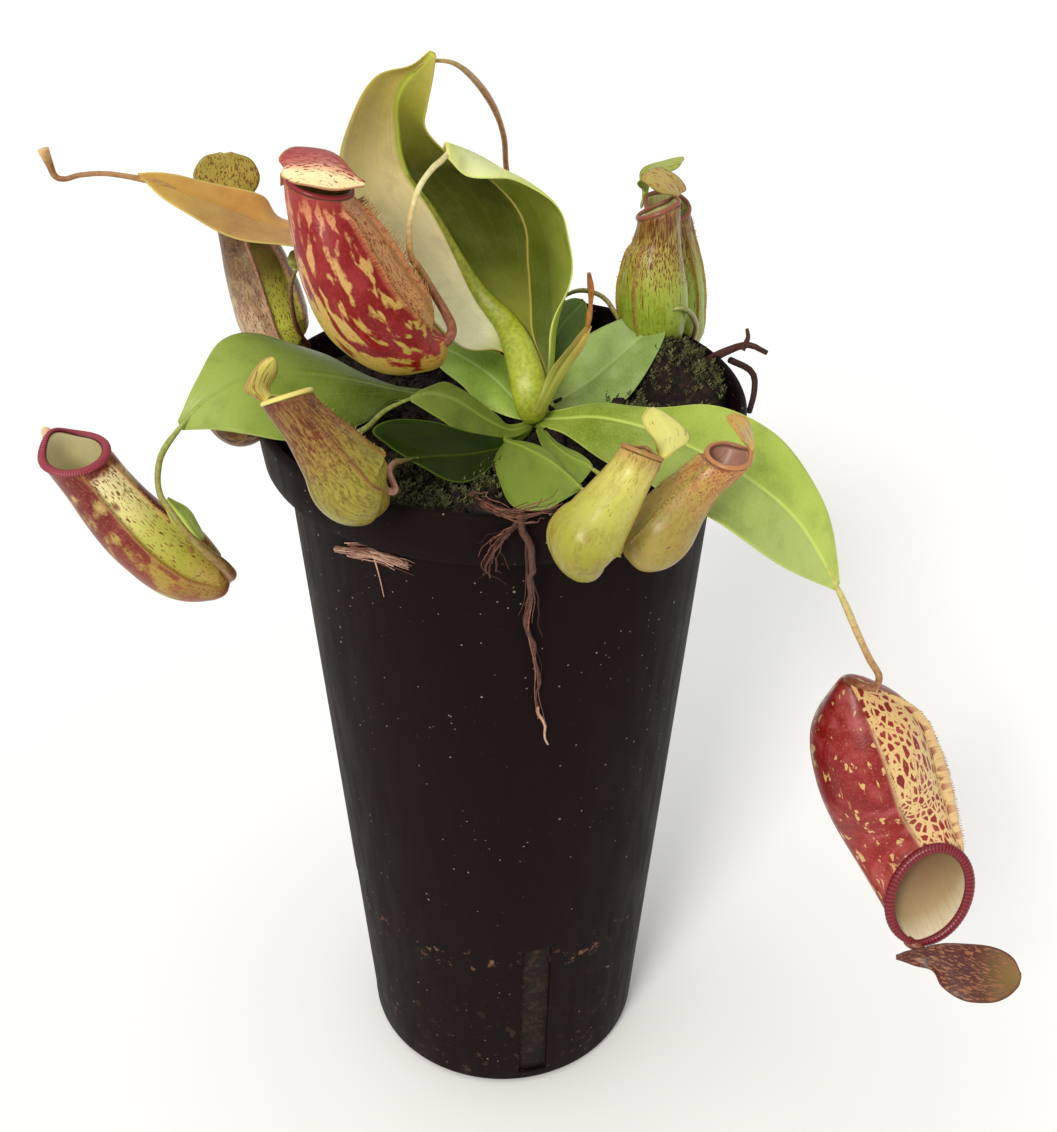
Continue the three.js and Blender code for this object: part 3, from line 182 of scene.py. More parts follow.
def addNode(tree, kind, inputs=(), output=0, stops=(), **settings):
    node = tree.nodes.new("ShaderNode" + kind)
    for key, value in settings.items():
        setattr(node, key, value)
    for position, tone in stops:
        elements = node.color_ramp.elements
        if position == stops[0][0]:
            element = elements[0]
        elif position == stops[-1][0]:
            element = elements[-1]
        else:
            element = elements.new(position)
        element.position = position
        element.color = toLinear(tone) if isinstance(tone, str) else [tone, tone, tone, 1]
    feed(tree, node, inputs)
    return node.outputs if output is None else node.outputs[output]


# settings that nodes share
inColour = {"data_type": "RGBA"}
smoothly = {"interpolation_type": "SMOOTHSTEP"}
times = {"operation": "MULTIPLY"}
plus = {"operation": "ADD"}
largest = {"operation": "MAXIMUM"}


def startMaterial(name):
    material = bpy.data.materials.new(name)
    material.use_nodes = True
    return material, functools.partial(addNode, material.node_tree)


def endMaterial(material, inputs):
    feed(material.node_tree, material.node_tree.nodes["Principled BSDF"], inputs)
    return material


# Living leaf, waxy cuticle: a satin sheen over mottled green, pale midrib and nerves, thin pale edge.
def waxyLeaf(name, look):
    material, add = startMaterial(name)
    spot = add("Attribute", output="Vector", attribute_name="leafPlace")
    form = add("Attribute", output="Vector", attribute_name="leafForm")
    across, along, q = add("SeparateXYZ", [spot], None)
    share, edge, under = add("SeparateXYZ", [form], None)
    tone = add("ValToRGB", [share], stops=look["left"])
    right = add("ValToRGB", [share], stops=look["right"])
    # mottles about 9 mm across, and a fine grain of 0.6 mm cells
    mottle = add("TexNoise", {"Scale": 1 / 9, "Detail": 3.0, 0: spot})
    grain = add("TexNoise", {"Scale": 1 / 0.6, "Detail": 2.0, 0: spot})
    # nerves: fine lines along the blade at set shares of its width, and pinnate ones every 2.6 mm
    reach = add("Math", [q], operation="ABSOLUTE")
    lines = add("Math", [add("Math", [reach, 4.0], **times), 0.5], operation="PINGPONG")
    nerve = add("MapRange", [lines, 0.42, 0.5, 0.0, 1.0], **smoothly)
    aside = add("Math", [across], operation="ABSOLUTE")
    slant = add("Math", [along, add("Math", [aside, 0.55], **times)], operation="SUBTRACT")
    zigzag = add("Math", [slant, 1.3], operation="PINGPONG")
    veins = add("MapRange", [zigzag, 1.1, 1.3, 0.0, 1.0], **smoothly)
    net = add("Math", [add("Math", [nerve, 0.6], **times), add("Math", [veins, 0.45], **times)], **largest)
    rib = add("MapRange", [aside, look.get("ribWidth", 0.7), 0.2, 0.0, 1.0], **smoothly)
    for cover, over in (
            (add("MapRange", [q, -0.04, 0.04, 0.0, 1.0], **smoothly), right),
            (add("Math", [under, 0.55], **times), look["under"]),
            (add("MapRange", [mottle, 0.42, 0.68, 0, look.get("mottle", 0.14)], **smoothly), look["pale"]),
            (add("MapRange", [mottle, 0.5, 0.3, 0, look.get("shade", 0.22)], **smoothly), look["deep"]),
            (add("MapRange", [grain, 0.35, 0.7, 0, look.get("grain", 0.15)], **smoothly), look["pale"]),
            (add("Math", [net, look.get("veins", 0.16)], **times), look["pale"]),
            (add("Math", [rib, look.get("ribShow", 0.5)], **times), look["rib"]),
            (add("MapRange", [edge, 0.55, 0.1, 0, 0.7], **smoothly), look["edge"])):
        tone = add("Mix", {0: cover, 6: tone, 7: over}, 2, **inColour)
    relief = add("Math", [add("Math", [net, -0.6], **times), add("Math", [grain, 0.35], **times)], **plus)
    return endMaterial(material, {
        "Base Color": tone, "IOR": 1.42, "Specular IOR Level": look.get("gloss", 0.28),
        "Coat Weight": 0.05, "Coat Roughness": 0.2,
        "Roughness": add("MapRange", [mottle, 0.3, 0.7, 0.36, 0.5], **smoothly),
        "Normal": add("Bump", {"Strength": 0.5, "Distance": 0.0002, "Height": relief}),
    })


# Tendril, grown: smooth skin, one tone running into the next along it, with fine streaks.
def twiningTendril(name, stops):
    material, add = startMaterial(name)
    spot = add("Attribute", output="Vector", attribute_name="tendrilPlace")
    share = add("SeparateXYZ", [spot])
    tone = add("ValToRGB", [share], stops=stops)
    grain = add("TexNoise", {"Scale": 900.0, "Detail": 2.0, 0: add("TexCoord", output="Object")})
    cover = add("MapRange", [grain, 0.35, 0.7, 0.0, 0.5], **smoothly)
    return endMaterial(material, {
        "Base Color": add("Mix", {0: cover, 6: tone, 7: tone}, 2, **inColour, blend_type="MULTIPLY"),
        "IOR": 1.42, "Coat Weight": 0.15, "Coat Roughness": 0.3, "Roughness": 0.42,
        "Normal": add("Bump", {"Strength": 0.4, "Distance": 0.0001, "Height": grain}),
    })


# Pitcher wall, waxy skin: glossy, a deep ground with crisp paler islands drawn out along the cup.
def pitcherSkin(name, look):
    material, add = startMaterial(name)
    skin, zone, marks = (add("Attribute", output="Vector", attribute_name=mark)
                         for mark in ("skinPlace", "skinZone", "skinMarks"))
    share, inside, wing = add("SeparateXYZ", [zone], None)
    islandShare, streakShare, panel = add("SeparateXYZ", [marks], None)
    # each lining ramp runs darker towards the cup's floor: painted shade deep in the hollow
    ground, island, lining = (add("ValToRGB", [share], stops=look[key])
                              for key in ("ground", "island", "lining"))
    # a broad play of tone over the ground, some 6 mm across, and a fine grain of 0.7 mm
    play = add("TexNoise", {"Scale": 1 / 6, "Detail": 3.0, 0: skin})
    grain = add("TexNoise", {"Scale": 1 / 0.7, "Detail": 2.0, 0: skin})
    # painted sheen: broad patches and fine flecks in the sheen tone stand in for the skin's gloss; the deep
    # patches are random tone
    for cover, over in (
            (add("MapRange", [play, 0.45, 0.72, 0, look.get("paintedSheen", 0.35)], **smoothly), look["sheen"]),
            (add("MapRange", [play, 0.5, 0.3, 0, 0.4], **smoothly), look["deep"]),
            (add("MapRange", [grain, 0.45, 0.75, 0, 0.3], **smoothly), look["sheen"])):
        ground = add("Mix", {0: cover, 6: ground, 7: over}, 2, **inColour)
    if "panelTones" in look:
        between = add("ValToRGB", [share], stops=look["panelTones"])
        island = add("Mix", {0: panel, 6: island, 7: between}, 2, **inColour)
    # freckles on the islands
    freckled = add("MapRange", [grain, 0.42, 0.3, 0, look.get("freckles", 0.5)], **smoothly)
    island = add("Mix", {0: freckled, 6: island, 7: look["freckle"]}, 2, **inColour)
    # islands: wide by long in mm, crisp edged
    wide, long = look["islandSize"]
    stretch = add("Mapping", {3: (1 / wide, 1 / wide, 1 / long), 1: (look.get("seed", 0), 0, 0), 0: skin})
    blots = add("TexNoise", {"Scale": 1.0, "Detail": 3.0, "Roughness": 0.42, "Distortion": 0.2, 0: stretch})
    centred = add("Math", [grain, 0.5], operation="SUBTRACT")
    drift = add("Math", [centred, look.get("ragged", 0.16)], **times)
    level = add("Math", [add("Math", [blots, drift], **plus), add("Math", [islandShare, 0.4], **times)],
                **plus)
    soft = look.get("soft", 0.012)
    cover = add("MapRange", [level, 0.7 - soft, 0.7 + soft, 0.0, 1.0], **smoothly)
    tone = add("Mix", {0: cover, 6: ground, 7: island}, 2, **inColour)
    # between the wings some pitchers carry a pale net with meshes about 1.9 by 5.5 mm
    if "netShow" in look:
        mesh = add("Mapping", {3: (1 / 1.9, 1 / 1.9, 1 / 5.5), 0: skin})
        cells = add("TexVoronoi", {"Scale": 1.0, 0: mesh}, feature="DISTANCE_TO_EDGE")
        cord = add("Math", [cells, add("Math", [centred, 0.25], **times)], **plus)
        shown = add("MapRange", [cord, 0.17, 0.12, 0, look["netShow"]], **smoothly)
        net = add("Math", [shown, panel], **times)
        tone = add("Mix", {0: net, 6: tone, 7: island}, 2, **inColour)
    # streaks: thin dashes along the cup
    wide, long = look.get("streakSize", (0.7, 5))
    thin = add("Mapping", {3: (1 / wide, 1 / wide, 1 / long), 0: skin})
    dashes = add("TexNoise", {"Scale": 1.0, "Detail": 2.0, "Distortion": 0.3, 0: thin})
    level = add("Math", [dashes, add("Math", [streakShare, 0.4], **times)], **plus)
    # the wing's band: its own tone, peppered with dark specks of some 0.4 mm
    pepper = add("TexNoise", {"Scale": 1 / 0.45, "Detail": 1.0, 0: skin})
    specks = add("MapRange", [pepper, 0.5, 0.62, 0, look.get("pepper", 0.7)], **smoothly)
    band = add("Mix", {0: specks, 6: look["wing"], 7: look["streak"]}, 2, **inColour)
    marked = add("MapRange", [dashes, 0.5, 0.62, 0, look.get("liningMarks", 0.25)], **smoothly)
    lining = add("Mix", {0: marked, 6: lining, 7: look["streak"]}, 2, **inColour)
    for cover, over in (
            (add("MapRange", [level, 0.67, 0.73, 0.0, 1.0], **smoothly), look["streak"]),
            (add("Math", [wing, 0.85], **times), band),
            (inside, lining)):
        tone = add("Mix", {0: cover, 6: tone, 7: over}, 2, **inColour)
    return endMaterial(material, {
        "Base Color": tone, "IOR": 1.43, "Specular IOR Level": 0.28,
        "Coat Weight": 0.1, "Coat Roughness": 0.2,
        "Roughness": add("MapRange", [play, 0.3, 0.7, 0.3, 0.42], **smoothly),
        "Normal": add("Bump", {"Strength": 0.35, "Distance": 0.00015, "Height": grain}),
    })


# Lid, grown thin: satin skin with short dashes that fan out from the hinge.
def speckledLid(name, look):
    material, add = startMaterial(name)
    spot = add("Attribute", output="Vector", attribute_name="leafPlace")
    form = add("Attribute", output="Vector", attribute_name="leafForm")
    q = add("SeparateXYZ", [spot], 2)
    share, edge, _ = add("SeparateXYZ", [form], None)
    side = add("Math", [q, 0.5, 0.5], operation="MULTIPLY_ADD")
    tone = add("ValToRGB", [side], stops=look["across"])
    fine = look.get("markSize", (0.42, 2.6))
    thin = add("Mapping", {3: (1 / fine[0], 1 / fine[1], 1.0), 0: spot})
    dashes = add("TexNoise", {"Scale": 1.0, "Detail": 2.0, "Distortion": 0.5, 0: thin})
    amount = add("ValToRGB", [side], stops=look["markShare"])
    level = add("Math", [dashes, add("Math", [amount, 0.4], **times)], **plus)
    for cover, over in (
            (add("MapRange", [share, 0.55, 1.0, 0, look.get("tipShow", 0.3)], **smoothly), look["tip"]),
            (add("MapRange", [level, 0.67, 0.72, 0.0, 1.0], **smoothly), look["mark"]),
            (add("MapRange", [edge, 0.6, 0.15, 0, 0.8], **smoothly), look["edge"])):
        tone = add("Mix", {0: cover, 6: tone, 7: over}, 2, **inColour)
    return endMaterial(material, {
        "Base Color": tone, "IOR": 1.42, "Coat Weight": 0.12, "Coat Roughness": 0.3, "Roughness": 0.42,
        "Normal": add("Bump", {"Strength": 0.3, "Distance": 0.0001, "Height": dashes}),
    })


# Pitcher lip, grown and ribbed: glossy, each rib a little paler on its crest than in the groove.
def ribbedLip(name, look):
    material, add = startMaterial(name)
    spot = add("Attribute", output="Vector", attribute_name="lipPlace")
    rib, _, outer = add("SeparateXYZ", [spot], None)
    tone = add("Mix", {0: add("MapRange", [rib, 0.1, 0.9, 0.0, 1.0], **smoothly),
                       6: look["groove"], 7: look["crest"]}, 2, **inColour)
    tone = add("Mix", {0: add("MapRange", [outer, 0.25, 0.0, 0.0, 1.0], **smoothly),
                       6: tone, 7: look["inner"]}, 2, **inColour)
    return endMaterial(material, {
        "Base Color": tone, "IOR": 1.45, "Specular IOR Level": 0.35,
        "Coat Weight": 0.15, "Coat Roughness": 0.2, "Roughness": 0.34,
    })


def leafGrid(leaf, rows, half):
    shares = np.linspace(0, 1, rows)
    left, mid, right = (
        evenCurve([p if isinstance(p, np.ndarray) else place(p) for p in leaf[rail]], shares)[:, None]
        for rail in ("left", "mid", "right"))
    u = np.linspace(-1, 1, 2 * half + 1)
    q = (np.sign(u) * np.abs(u) ** 1.25)[None, :, None]
    edge = np.where(q < 0, left, right)
    straight = mid + (edge - mid) * np.abs(q)
    rounded = left * q * (q - 1) / 2 + mid * (1 - q * q) + right * q * (q + 1) / 2
    grid = rounded + (straight - rounded) * leaf["fold"]
    return grid, np.linalg.norm(edge - mid, axis=2), q[0, :, 0], shares


def bladeBody(leaf, rows, half, thin, edgeThin, keel, wave, seed):
    # returns the points, faces and marks of a closed thin blade with a keel under its midrib
    grid, width, q, shares = leafGrid(leaf, rows, half)
    normal = unit(np.cross(np.gradient(grid, axis=1), np.gradient(grid, axis=0)))
    along = np.concatenate([[0], np.cumsum(np.linalg.norm(np.diff(grid[:, half], axis=0), axis=1))])
    across = width * q[None, :]
    edge = width * (1 - np.abs(q))[None, :]
    ends = np.minimum(smoothStep(shares, 0, 0.08), smoothStep(shares, 1, 0.93))[:, None]
    ripple = np.sin(along[:, None] / wave["length"] * 2 * math.pi + 2.2 * np.sign(q)[None, :] + seed)
    lift = wave["height"] * ripple * np.abs(q)[None, :] ** 2.2
    lift = lift + wave["lumps"] * lumps(grid, 14, seed) * np.abs(q)[None, :]
    groove = wave.get("groove", 0.25) * np.exp(-(across / 0.55) ** 2)
    body = grid + normal * ((lift - groove) * ends)[..., None]
    halfThick = (thin / 2) * (edgeThin + (1 - edgeThin) * smoothStep(edge, 0, 1.2))
    fade = 1 - 0.65 * shares[:, None]
    rib = keel * np.exp(-(across / 0.75) ** 2) * fade
    over = body + normal * halfThick[..., None]
    under = body - normal * (halfThick + rib)[..., None]
    rings = np.concatenate([over, under[:, ::-1]], axis=1)
    spot = np.stack([across, np.repeat(along[:, None], len(q), 1), np.repeat(q[None], rows, 0)], -1)
    side = np.repeat(shares[:, None], len(q), 1)
    overForm = np.stack([side, edge, np.zeros_like(edge)], -1)
    underForm = np.stack([side, edge, np.ones_like(edge)], -1)
    marks = {
        "leafPlace": np.concatenate([spot, spot[:, ::-1]], axis=1).reshape(-1, 3),
        "leafForm": np.concatenate([overForm, underForm[:, ::-1]], axis=1).reshape(-1, 3),
    }
    return rings, tubeFaces(rows, rings.shape[1]), marks


def growLeaf(node, leaf, material, stops=None, rows=70, half=14, pitcher=None):
    wave = {"length": 26, "height": 0.35, "lumps": 0.5}
    seed = sum(map(ord, node)) % 17
    rings, faces, marks = bladeBody(leaf, rows, half, 0.6, 0.45, 0.9, wave, seed)
    addPiece(node + "_blade", rings, faces, material, [node], marks)
    if "tendril" not in leaf:
        return
    # the tendril starts within the blade's tip and ends within the pitcher's foot
    start = evenCurve(placeAll(leaf["mid"]), [0.93, 0.965])
    path = list(start) + list(placeAll(leaf["tendril"])[1:])
    if pitcher:
        foot, inner = placeAll(pitcher["axis"][:2])
        path.append(foot + (inner - foot) * 0.35)
    shares = np.linspace(0, 1, max(40, 14 * len(path)))
    points = evenCurve(path, shares)
    thick = radiiAlong([0.3] + leaf["thick"], shares) * (1 + 0.06 * lumps(points, 5, seed))
    tendril = twiningTendril("tendrilGrown_" + node, stops)
    growTube(node + "_tendril", roundLine(points, thick, 12), tendril, [node])


def cupFrames(pitcher, shares):
    # worked out at fine steps along the cup, then read off at the shares asked for
    fine = np.linspace(0, 1, 241)
    centres = smoothCurve(placeAll(pitcher["axis"]), fine)
    radii = radiiAlong([p[3] for p in pitcher["axis"]], fine)[:, None]
    start = pitcher.get("mouthBlend", 0.68)
    near = smoothStep(fine, start, 1)[:, None]
    mouth = pitcher["mouth"]
    level = unit(np.array(mouth["normal"], float))
    axis = unit(np.gradient(centres, axis=0))
    turn = np.arccos(np.clip(axis @ level, -1, 1))[:, None]
    axis = unit(axis * np.sin((1 - near) * turn) + level * np.sin(near * turn) + 1e-9 * level)
    front = np.array(pitcher["front"], float)
    fronts = np.zeros_like(axis)
    for i in range(len(fine) - 1, -1, -1):
        front = unit(front - axis[i] * front.dot(axis[i]))
        fronts[i] = front
    values = {"centre": centres, "axis": axis, "front": fronts, "side": np.cross(axis, fronts)}
    for key in ("along", "across"):
        values[key] = radii * (1 - near) + mouth[key] * near
    frames = {}
    for key, value in values.items():
        frames[key] = np.stack([np.interp(shares, fine, column) for column in value.T], -1)
    if pitcher.get("oblique"):
        k = int(round(start * 240))
        for key in ("centre", "front", "side", "along", "across"):
            frames["start" + key] = np.repeat(values[key][k:k + 1], len(shares), 0)
            frames["end" + key] = np.repeat(values[key][-1:], len(shares), 0)
        frames["endaxis"] = np.repeat(level[None], len(shares), 0)
        frames["lead"] = np.repeat(centres[k + 1:k + 2] - centres[k - 1:k], len(shares), 0)
        frames["swell"] = np.repeat(radii[k + 1:k + 2] - radii[k - 1:k], len(shares), 0)
        frames["run"] = np.clip((shares - start) / (1 - start), 0, 1)[:, None]
    for key in ("along", "across"):
        frames[key] = frames[key][:, 0]
    return frames


def aroundCup(frames, angles, grow):
    # angles and grow are rows by columns
    cosine, sine, grow = np.cos(angles)[..., None], np.sin(angles)[..., None], grow[..., None]
    front = frames["front"][:, None] * cosine * (frames["along"][:, None, None] + grow)
    side = frames["side"][:, None] * sine * (frames["across"][:, None, None] + grow)
    points = frames["centre"][:, None] + front + side
    if "run" not in frames:
        return points
    # a mouth cut at a slant: each line down the wall runs on smoothly to its own place on the mouth
    row = {key: value[:, None] for key, value in frames.items()}
    way = row["startfront"] * cosine + row["startside"] * sine
    first = row["startcentre"] + way * (row["startalong"] + grow)
    last = row["endcentre"] + row["endfront"] * cosine * (row["endalong"] + grow)
    last = last + row["endside"] * sine * (row["endacross"] + grow)
    far = np.linalg.norm(last - first, axis=-1, keepdims=True)
    leave = unit(row["lead"] + way * row["swell"]) * far
    arrive = unit(unit(last - first) + row["endaxis"] * 0.8) * far
    t = row["run"]
    bent = first * (1 + 2 * t) * (1 - t) ** 2 + leave * t * (1 - t) ** 2
    bent = bent + last * t * t * (3 - 2 * t) + arrive * t * t * (t - 1)
    return np.where(t > 0, bent, points)


cup = {
    "wall": 0.9, "hollowFrom": 0.2, "wingFrom": 0.16, "wingTo": 0.95,
    "stops": [-1.0, -0.5, -0.3, -0.16, 0, 0.16, 0.3, 0.5, 1.0],
    "crest": [0, 0.1, 0.5, 0.93, 1, 0.93, 0.5, 0.1, 0],
}


def fromFront(angles):
    return np.abs((angles + math.pi) % (2 * math.pi) - math.pi)


def shareTable(table, shares, angles, spread, rearTurn):
    # rows of (place along the cup, between the wings, at the sides, at the back)
    table = np.array(table, float)
    front, side, back = (np.interp(shares, table[:, 0], table[:, k])[:, None] for k in (1, 2, 3))
    turn = fromFront(angles)
    outer = side + (back - side) * smoothStep(turn, *rearTurn)
    return np.where(turn < spread, front, outer)


def cupAngles(radius, spread, plain):
    # columns round the cup: close together at the two wings, even elsewhere, and the wings' profile
    stops = np.array(cup["stops"])[None] / np.maximum(radius, 3.2)[:, None]
    right = spread + stops
    left = 2 * math.pi - spread + stops
    even = np.linspace(0, 1, 5)[None]
    outer = np.linspace(0, 1, plain + 2)[None, 1:-1]
    around = right[:, -1:] + (left[:, :1] - right[:, -1:]) * outer
    panelLeft = left[:, -1:] + (2 * math.pi - left[:, -1:]) * np.linspace(0, 1, 6)[None, 1:-1]
    panelRight = right[:, :1] * even[:, :-1]
    angles = np.concatenate([panelRight, right, around, left, panelLeft], axis=1)
    plainPart, ends = np.zeros(plain), np.zeros(4)
    profile = np.concatenate([ends, cup["crest"], plainPart, cup["crest"], ends])
    return angles, profile


# a lip's usual sizes in mm, the ribs round it, and the peak that reaches up to the lid's hinge
plainLip = {
    "width": 1.1, "height": 0.8, "flare": 0.3, "ribs": 84, "relief": 0.05, "peak": 1.0,
    "peakWidth": 0.4, "narrowing": 0.35,
}


def growPitcher(node, pitcher, look):
    size = pitcher.get("size", 1)
    rows, plain = (96, 66) if size > 1 else (64, 46)
    shares = np.linspace(0, 1, rows) ** 1.15
    frames = cupFrames(pitcher, shares)
    radius = (frames["along"] + frames["across"]) / 2
    spread = math.radians(pitcher.get("wingSpread", 26))
    angles, profile = cupAngles(radius, spread, plain)
    columns = angles.shape[1]
    wingShare = np.clip((shares - cup["wingFrom"]) / (cup["wingTo"] - cup["wingFrom"]), 0, 1)
    wings = [height * np.sin(math.pi * wingShare) ** 0.5 for height in pitcher["wings"]]
    onRight = np.arange(columns) < columns // 2
    crests = np.where(onRight, wings[0][:, None], wings[1][:, None]) * profile[None]
    frill = 1 + 0.05 * np.sin(shares * 60)[:, None] * profile[None]
    plainCup = aroundCup(frames, angles, 0 * angles)
    uneven = 0.22 * size * lumps(plainCup, 9 * size, 3) * smoothStep(1 - shares, 0, 0.12)[:, None]
    run = np.concatenate([[0], np.cumsum(np.linalg.norm(np.diff(frames["centre"], axis=0), axis=1))])
    rounded = np.sqrt(np.clip(1 - (1 - (run + 0.05) / radius[0]) ** 2, 0.01, 1))
    dome = rounded * (run < radius[0]) + (run >= radius[0])
    trim = radius[:, None] * (dome - 1)[:, None]
    outside = aroundCup(frames, angles, crests * frill + uneven * dome[:, None] + trim)
    # behind the mouth the wall rises with the lip, up to the lid's hinge
    lip = {**plainLip, **pitcher.get("lip", {})}
    behind = np.exp(-(((angles - math.pi) / lip["peakWidth"]) ** 2))
    behind = behind * smoothStep(shares, 0.9, 1)[:, None]
    rise = frames["axis"][:, None] * ((lip["peak"] + 0.3) * behind)[..., None]
    # the skin goes up the outside and down the inside, so each set of rows is followed by its return
    first = int(np.searchsorted(shares, cup["hollowFrom"]))
    back = slice(None, first - 1, -1)
    innerFrames = {key: value[back] for key, value in frames.items()}
    inside = aroundCup(innerFrames, angles[back], -cup["wall"] + 0 * angles[back])
    rings = np.concatenate([outside + rise, inside + rise[back]], axis=0)
    allShares, allAngles, allRun, allRadius = (np.concatenate([values, values[back]])
                                               for values in (shares, angles, run, radius))
    within = np.concatenate([np.zeros(rows), np.ones(rows - first)])
    column = np.ones(columns)
    skin = np.stack([np.cos(allAngles) * allRadius[:, None], np.sin(allAngles) * allRadius[:, None],
                     allRun[:, None] * column], -1)
    band = np.repeat(profile[None] ** 0.5, rows, 0) * smoothStep(wingShare, 0, 0.1)[:, None]
    band = np.concatenate([band * (max(pitcher["wings"]) > 0), np.zeros((rows - first, columns))])
    zone = np.stack([allShares[:, None] * column, within[:, None] * column, band], -1)
    rearTurn = look.get("rearTurn", (1.75, 2.95))
    islands, streaks = (shareTable(look[key], allShares, allAngles, spread, rearTurn)
                        for key in ("islands", "streaks"))
    kinds = np.stack([islands, streaks, (fromFront(allAngles) < spread) * 1.0], -1)
    marks = {"skinPlace": skin.reshape(-1, 3), "skinZone": zone.reshape(-1, 3),
             "skinMarks": kinds.reshape(-1, 3)}
    material = pitcherSkin("pitcherSkinWaxy_" + node, look)
    addPiece(node + "_cup", rings, tubeFaces(len(rings), columns), material, [node], marks)
    return frames, wings


def growLip(node, pitcher, frames, look):
    # a collar rolled outwards, ribbed across, that rises to a point at the lid's hinge
    lip = {**plainLip, **pitcher.get("lip", {})}
    perRib, sides = 4, 16
    count = lip["ribs"] * perRib
    turn = np.linspace(0, 2 * math.pi, count, endpoint=False)
    top = {key: value[-1:] for key, value in frames.items()}
    up = top["axis"][0]
    grow = np.full((1, count), lip["flare"] - 0.55)
    edge = aroundCup(top, turn[None], grow)[0]
    outward = unit(aroundCup(top, turn[None], grow + 1)[0] - edge)
    toHinge = np.exp(-(((turn - math.pi) / lip["peakWidth"]) ** 2))
    centre = edge + up * (lip["height"] + 0.2) + up * (lip["peak"] * toHinge)[:, None]
    rib = 0.5 + 0.5 * np.cos(turn * lip["ribs"])
    section = np.linspace(0, 2 * math.pi, sides, endpoint=False)
    out = np.cos(section)[None, :]
    rise = np.sin(section)[None, :]
    swell = (1 - lip["relief"] * (1 - rib))[:, None]
    narrow = (1 - lip["narrowing"] * toHinge)[:, None]
    wide = lip["width"] * swell * narrow * out
    droop = -0.55 * lip["height"] * np.maximum(out, 0) ** 1.5
    droop = droop - 0.25 * lip["height"] * np.maximum(-out, 0) ** 2
    high = lip["height"] * (rise * swell + droop)
    points = centre[:, None] + outward[:, None] * wide[..., None] + up * high[..., None]
    i = np.arange(count)[:, None]
    j = np.arange(sides)[None, :]
    ahead, beside = (i + 1) % count * sides, (j + 1) % sides
    faces = np.stack([i * sides + j, ahead + j, ahead + beside, i * sides + beside], -1)
    place3 = [np.repeat(rib[:, None], sides, 1), np.repeat(turn[:, None] / (2 * math.pi), sides, 1),
              0.5 + 0.5 * np.repeat(out, count, 0)]
    marks = {"lipPlace": np.stack(place3, -1).reshape(-1, 3)}
    material = ribbedLip("lipRibbed_" + node, look)
    addPiece(node + "_lip_ring", points, faces.reshape(-1, 4).tolist(), material, [node + "_lip"],
             marks)


def growLid(node, pitcher, frames, look):
    lid = pitcher["lid"]
    top = {key: value[-1:] for key, value in frames.items()}
    turn = math.radians(pitcher.get("hingeTurn", 0))
    back = aroundCup(top, np.array([[math.pi + turn]]), np.array([[0.2]]))[0, 0]
    axis = top["axis"][0]
    side = top["side"][0] * math.cos(turn) - top["front"][0] * math.sin(turn)
    forward = top["front"][0] * math.cos(turn) + top["side"][0] * math.sin(turn)
    halfStalk = side * (-1.4 if lid.get("flip") else 1.4)
    low = back - axis * 2.2 - forward * 0.2
    stalk = back + axis * 1.3
    rails = {"fold": 0}
    for key, shift in (("mid", 0), ("left", -1), ("right", 1)):
        hinge = [] if lid.get("loose") else [low + halfStalk * shift * 0.8, stalk + halfStalk * shift]
        rails[key] = hinge + [place(p) for p in lid[key]]
    wave = {"length": 11, "height": 0.3, "lumps": 0.35, "groove": 0.1}
    rings, faces, marks = bladeBody(rails, 48, 12, 0.6, 0.5, 0.35, wave, len(node))
    material = speckledLid("lidSpeckled_" + node, look)
    addPiece(node + "_lid_sheet", rings, faces, material, [node + "_lid"], marks)
    if lid.get("loose"):
        share = np.linspace(0, 1, 24)
        sheet = (place(lid["mid"][1]) + place(lid["mid"][2])) / 2
        path = evenCurve([low, back + axis * 0.6, stalk, sheet], share)
        rings = roundLine(path, np.interp(share, [0, 0.4, 1], [1.5, 1.5, 0.6]), 14)
        hinge = twiningTendril("lidHinge_" + node, [(0, "#8a4038"), (1, "#8a5a40")])
        growTube(node + "_lid_hinge", rings, hinge, [node + "_lid"])


def growHairs(node, pitcher, frames, wings, hairs, material):
    # hairs along the crest of both wings, drawn at random from a fixed seed
    draw = random.Random(len(node) * 31 + 7)
    spread = math.radians(pitcher.get("wingSpread", 26))
    points, faces = [], []
    for k in range(hairs["count"]):
        i = int(len(wings[0]) * (0.2 + 0.72 * draw.random()))
        sign = 1 if draw.random() < 0.5 else -1
        crest = wings[0 if sign > 0 else 1][i]
        angle = sign * spread + 0.02 * (draw.random() - 0.5)
        row = {key: value[i:i + 1] for key, value in frames.items()}
        root = aroundCup(row, np.array([[angle]]), np.array([[crest - 0.15]]))[0, 0]
        outward = unit(root - row["centre"][0])
        lean = row["axis"][0] * (0.2 + 0.7 * draw.random())
        lean = lean + row["side"][0] * (sign * 0.6 * draw.random())
        way = unit(outward + lean)
        length = hairs["length"] * (0.5 + 0.8 * draw.random())
        bend = unit(np.array([draw.random() - 0.5 for _ in range(3)])) * length * 0.18
        line = np.array([root, root + way * length * 0.5 + bend * 0.4, root + way * length + bend])
        rings = roundLine(line, np.array([0.08, 0.06, 0.02]), 4)
        faces += tubeFaces(3, 4, k * 12)
        points.append(rings.reshape(-1, 3))
    addPiece(node + "_hairs", np.concatenate(points), faces, material, [node])


pot = {
    "height": 226.5, "rimRadius": 65, "bandHeight": 14.3, "bandFoot": 63.6, "shoulder": 58, "base": 43.6,
    "wall": 1.8, "floor": 3,
    "slot": {"width": 9, "depth": 16, "foot": 5, "height": 60, "count": 4, "frontX": 10},
    "sides": 192,
}


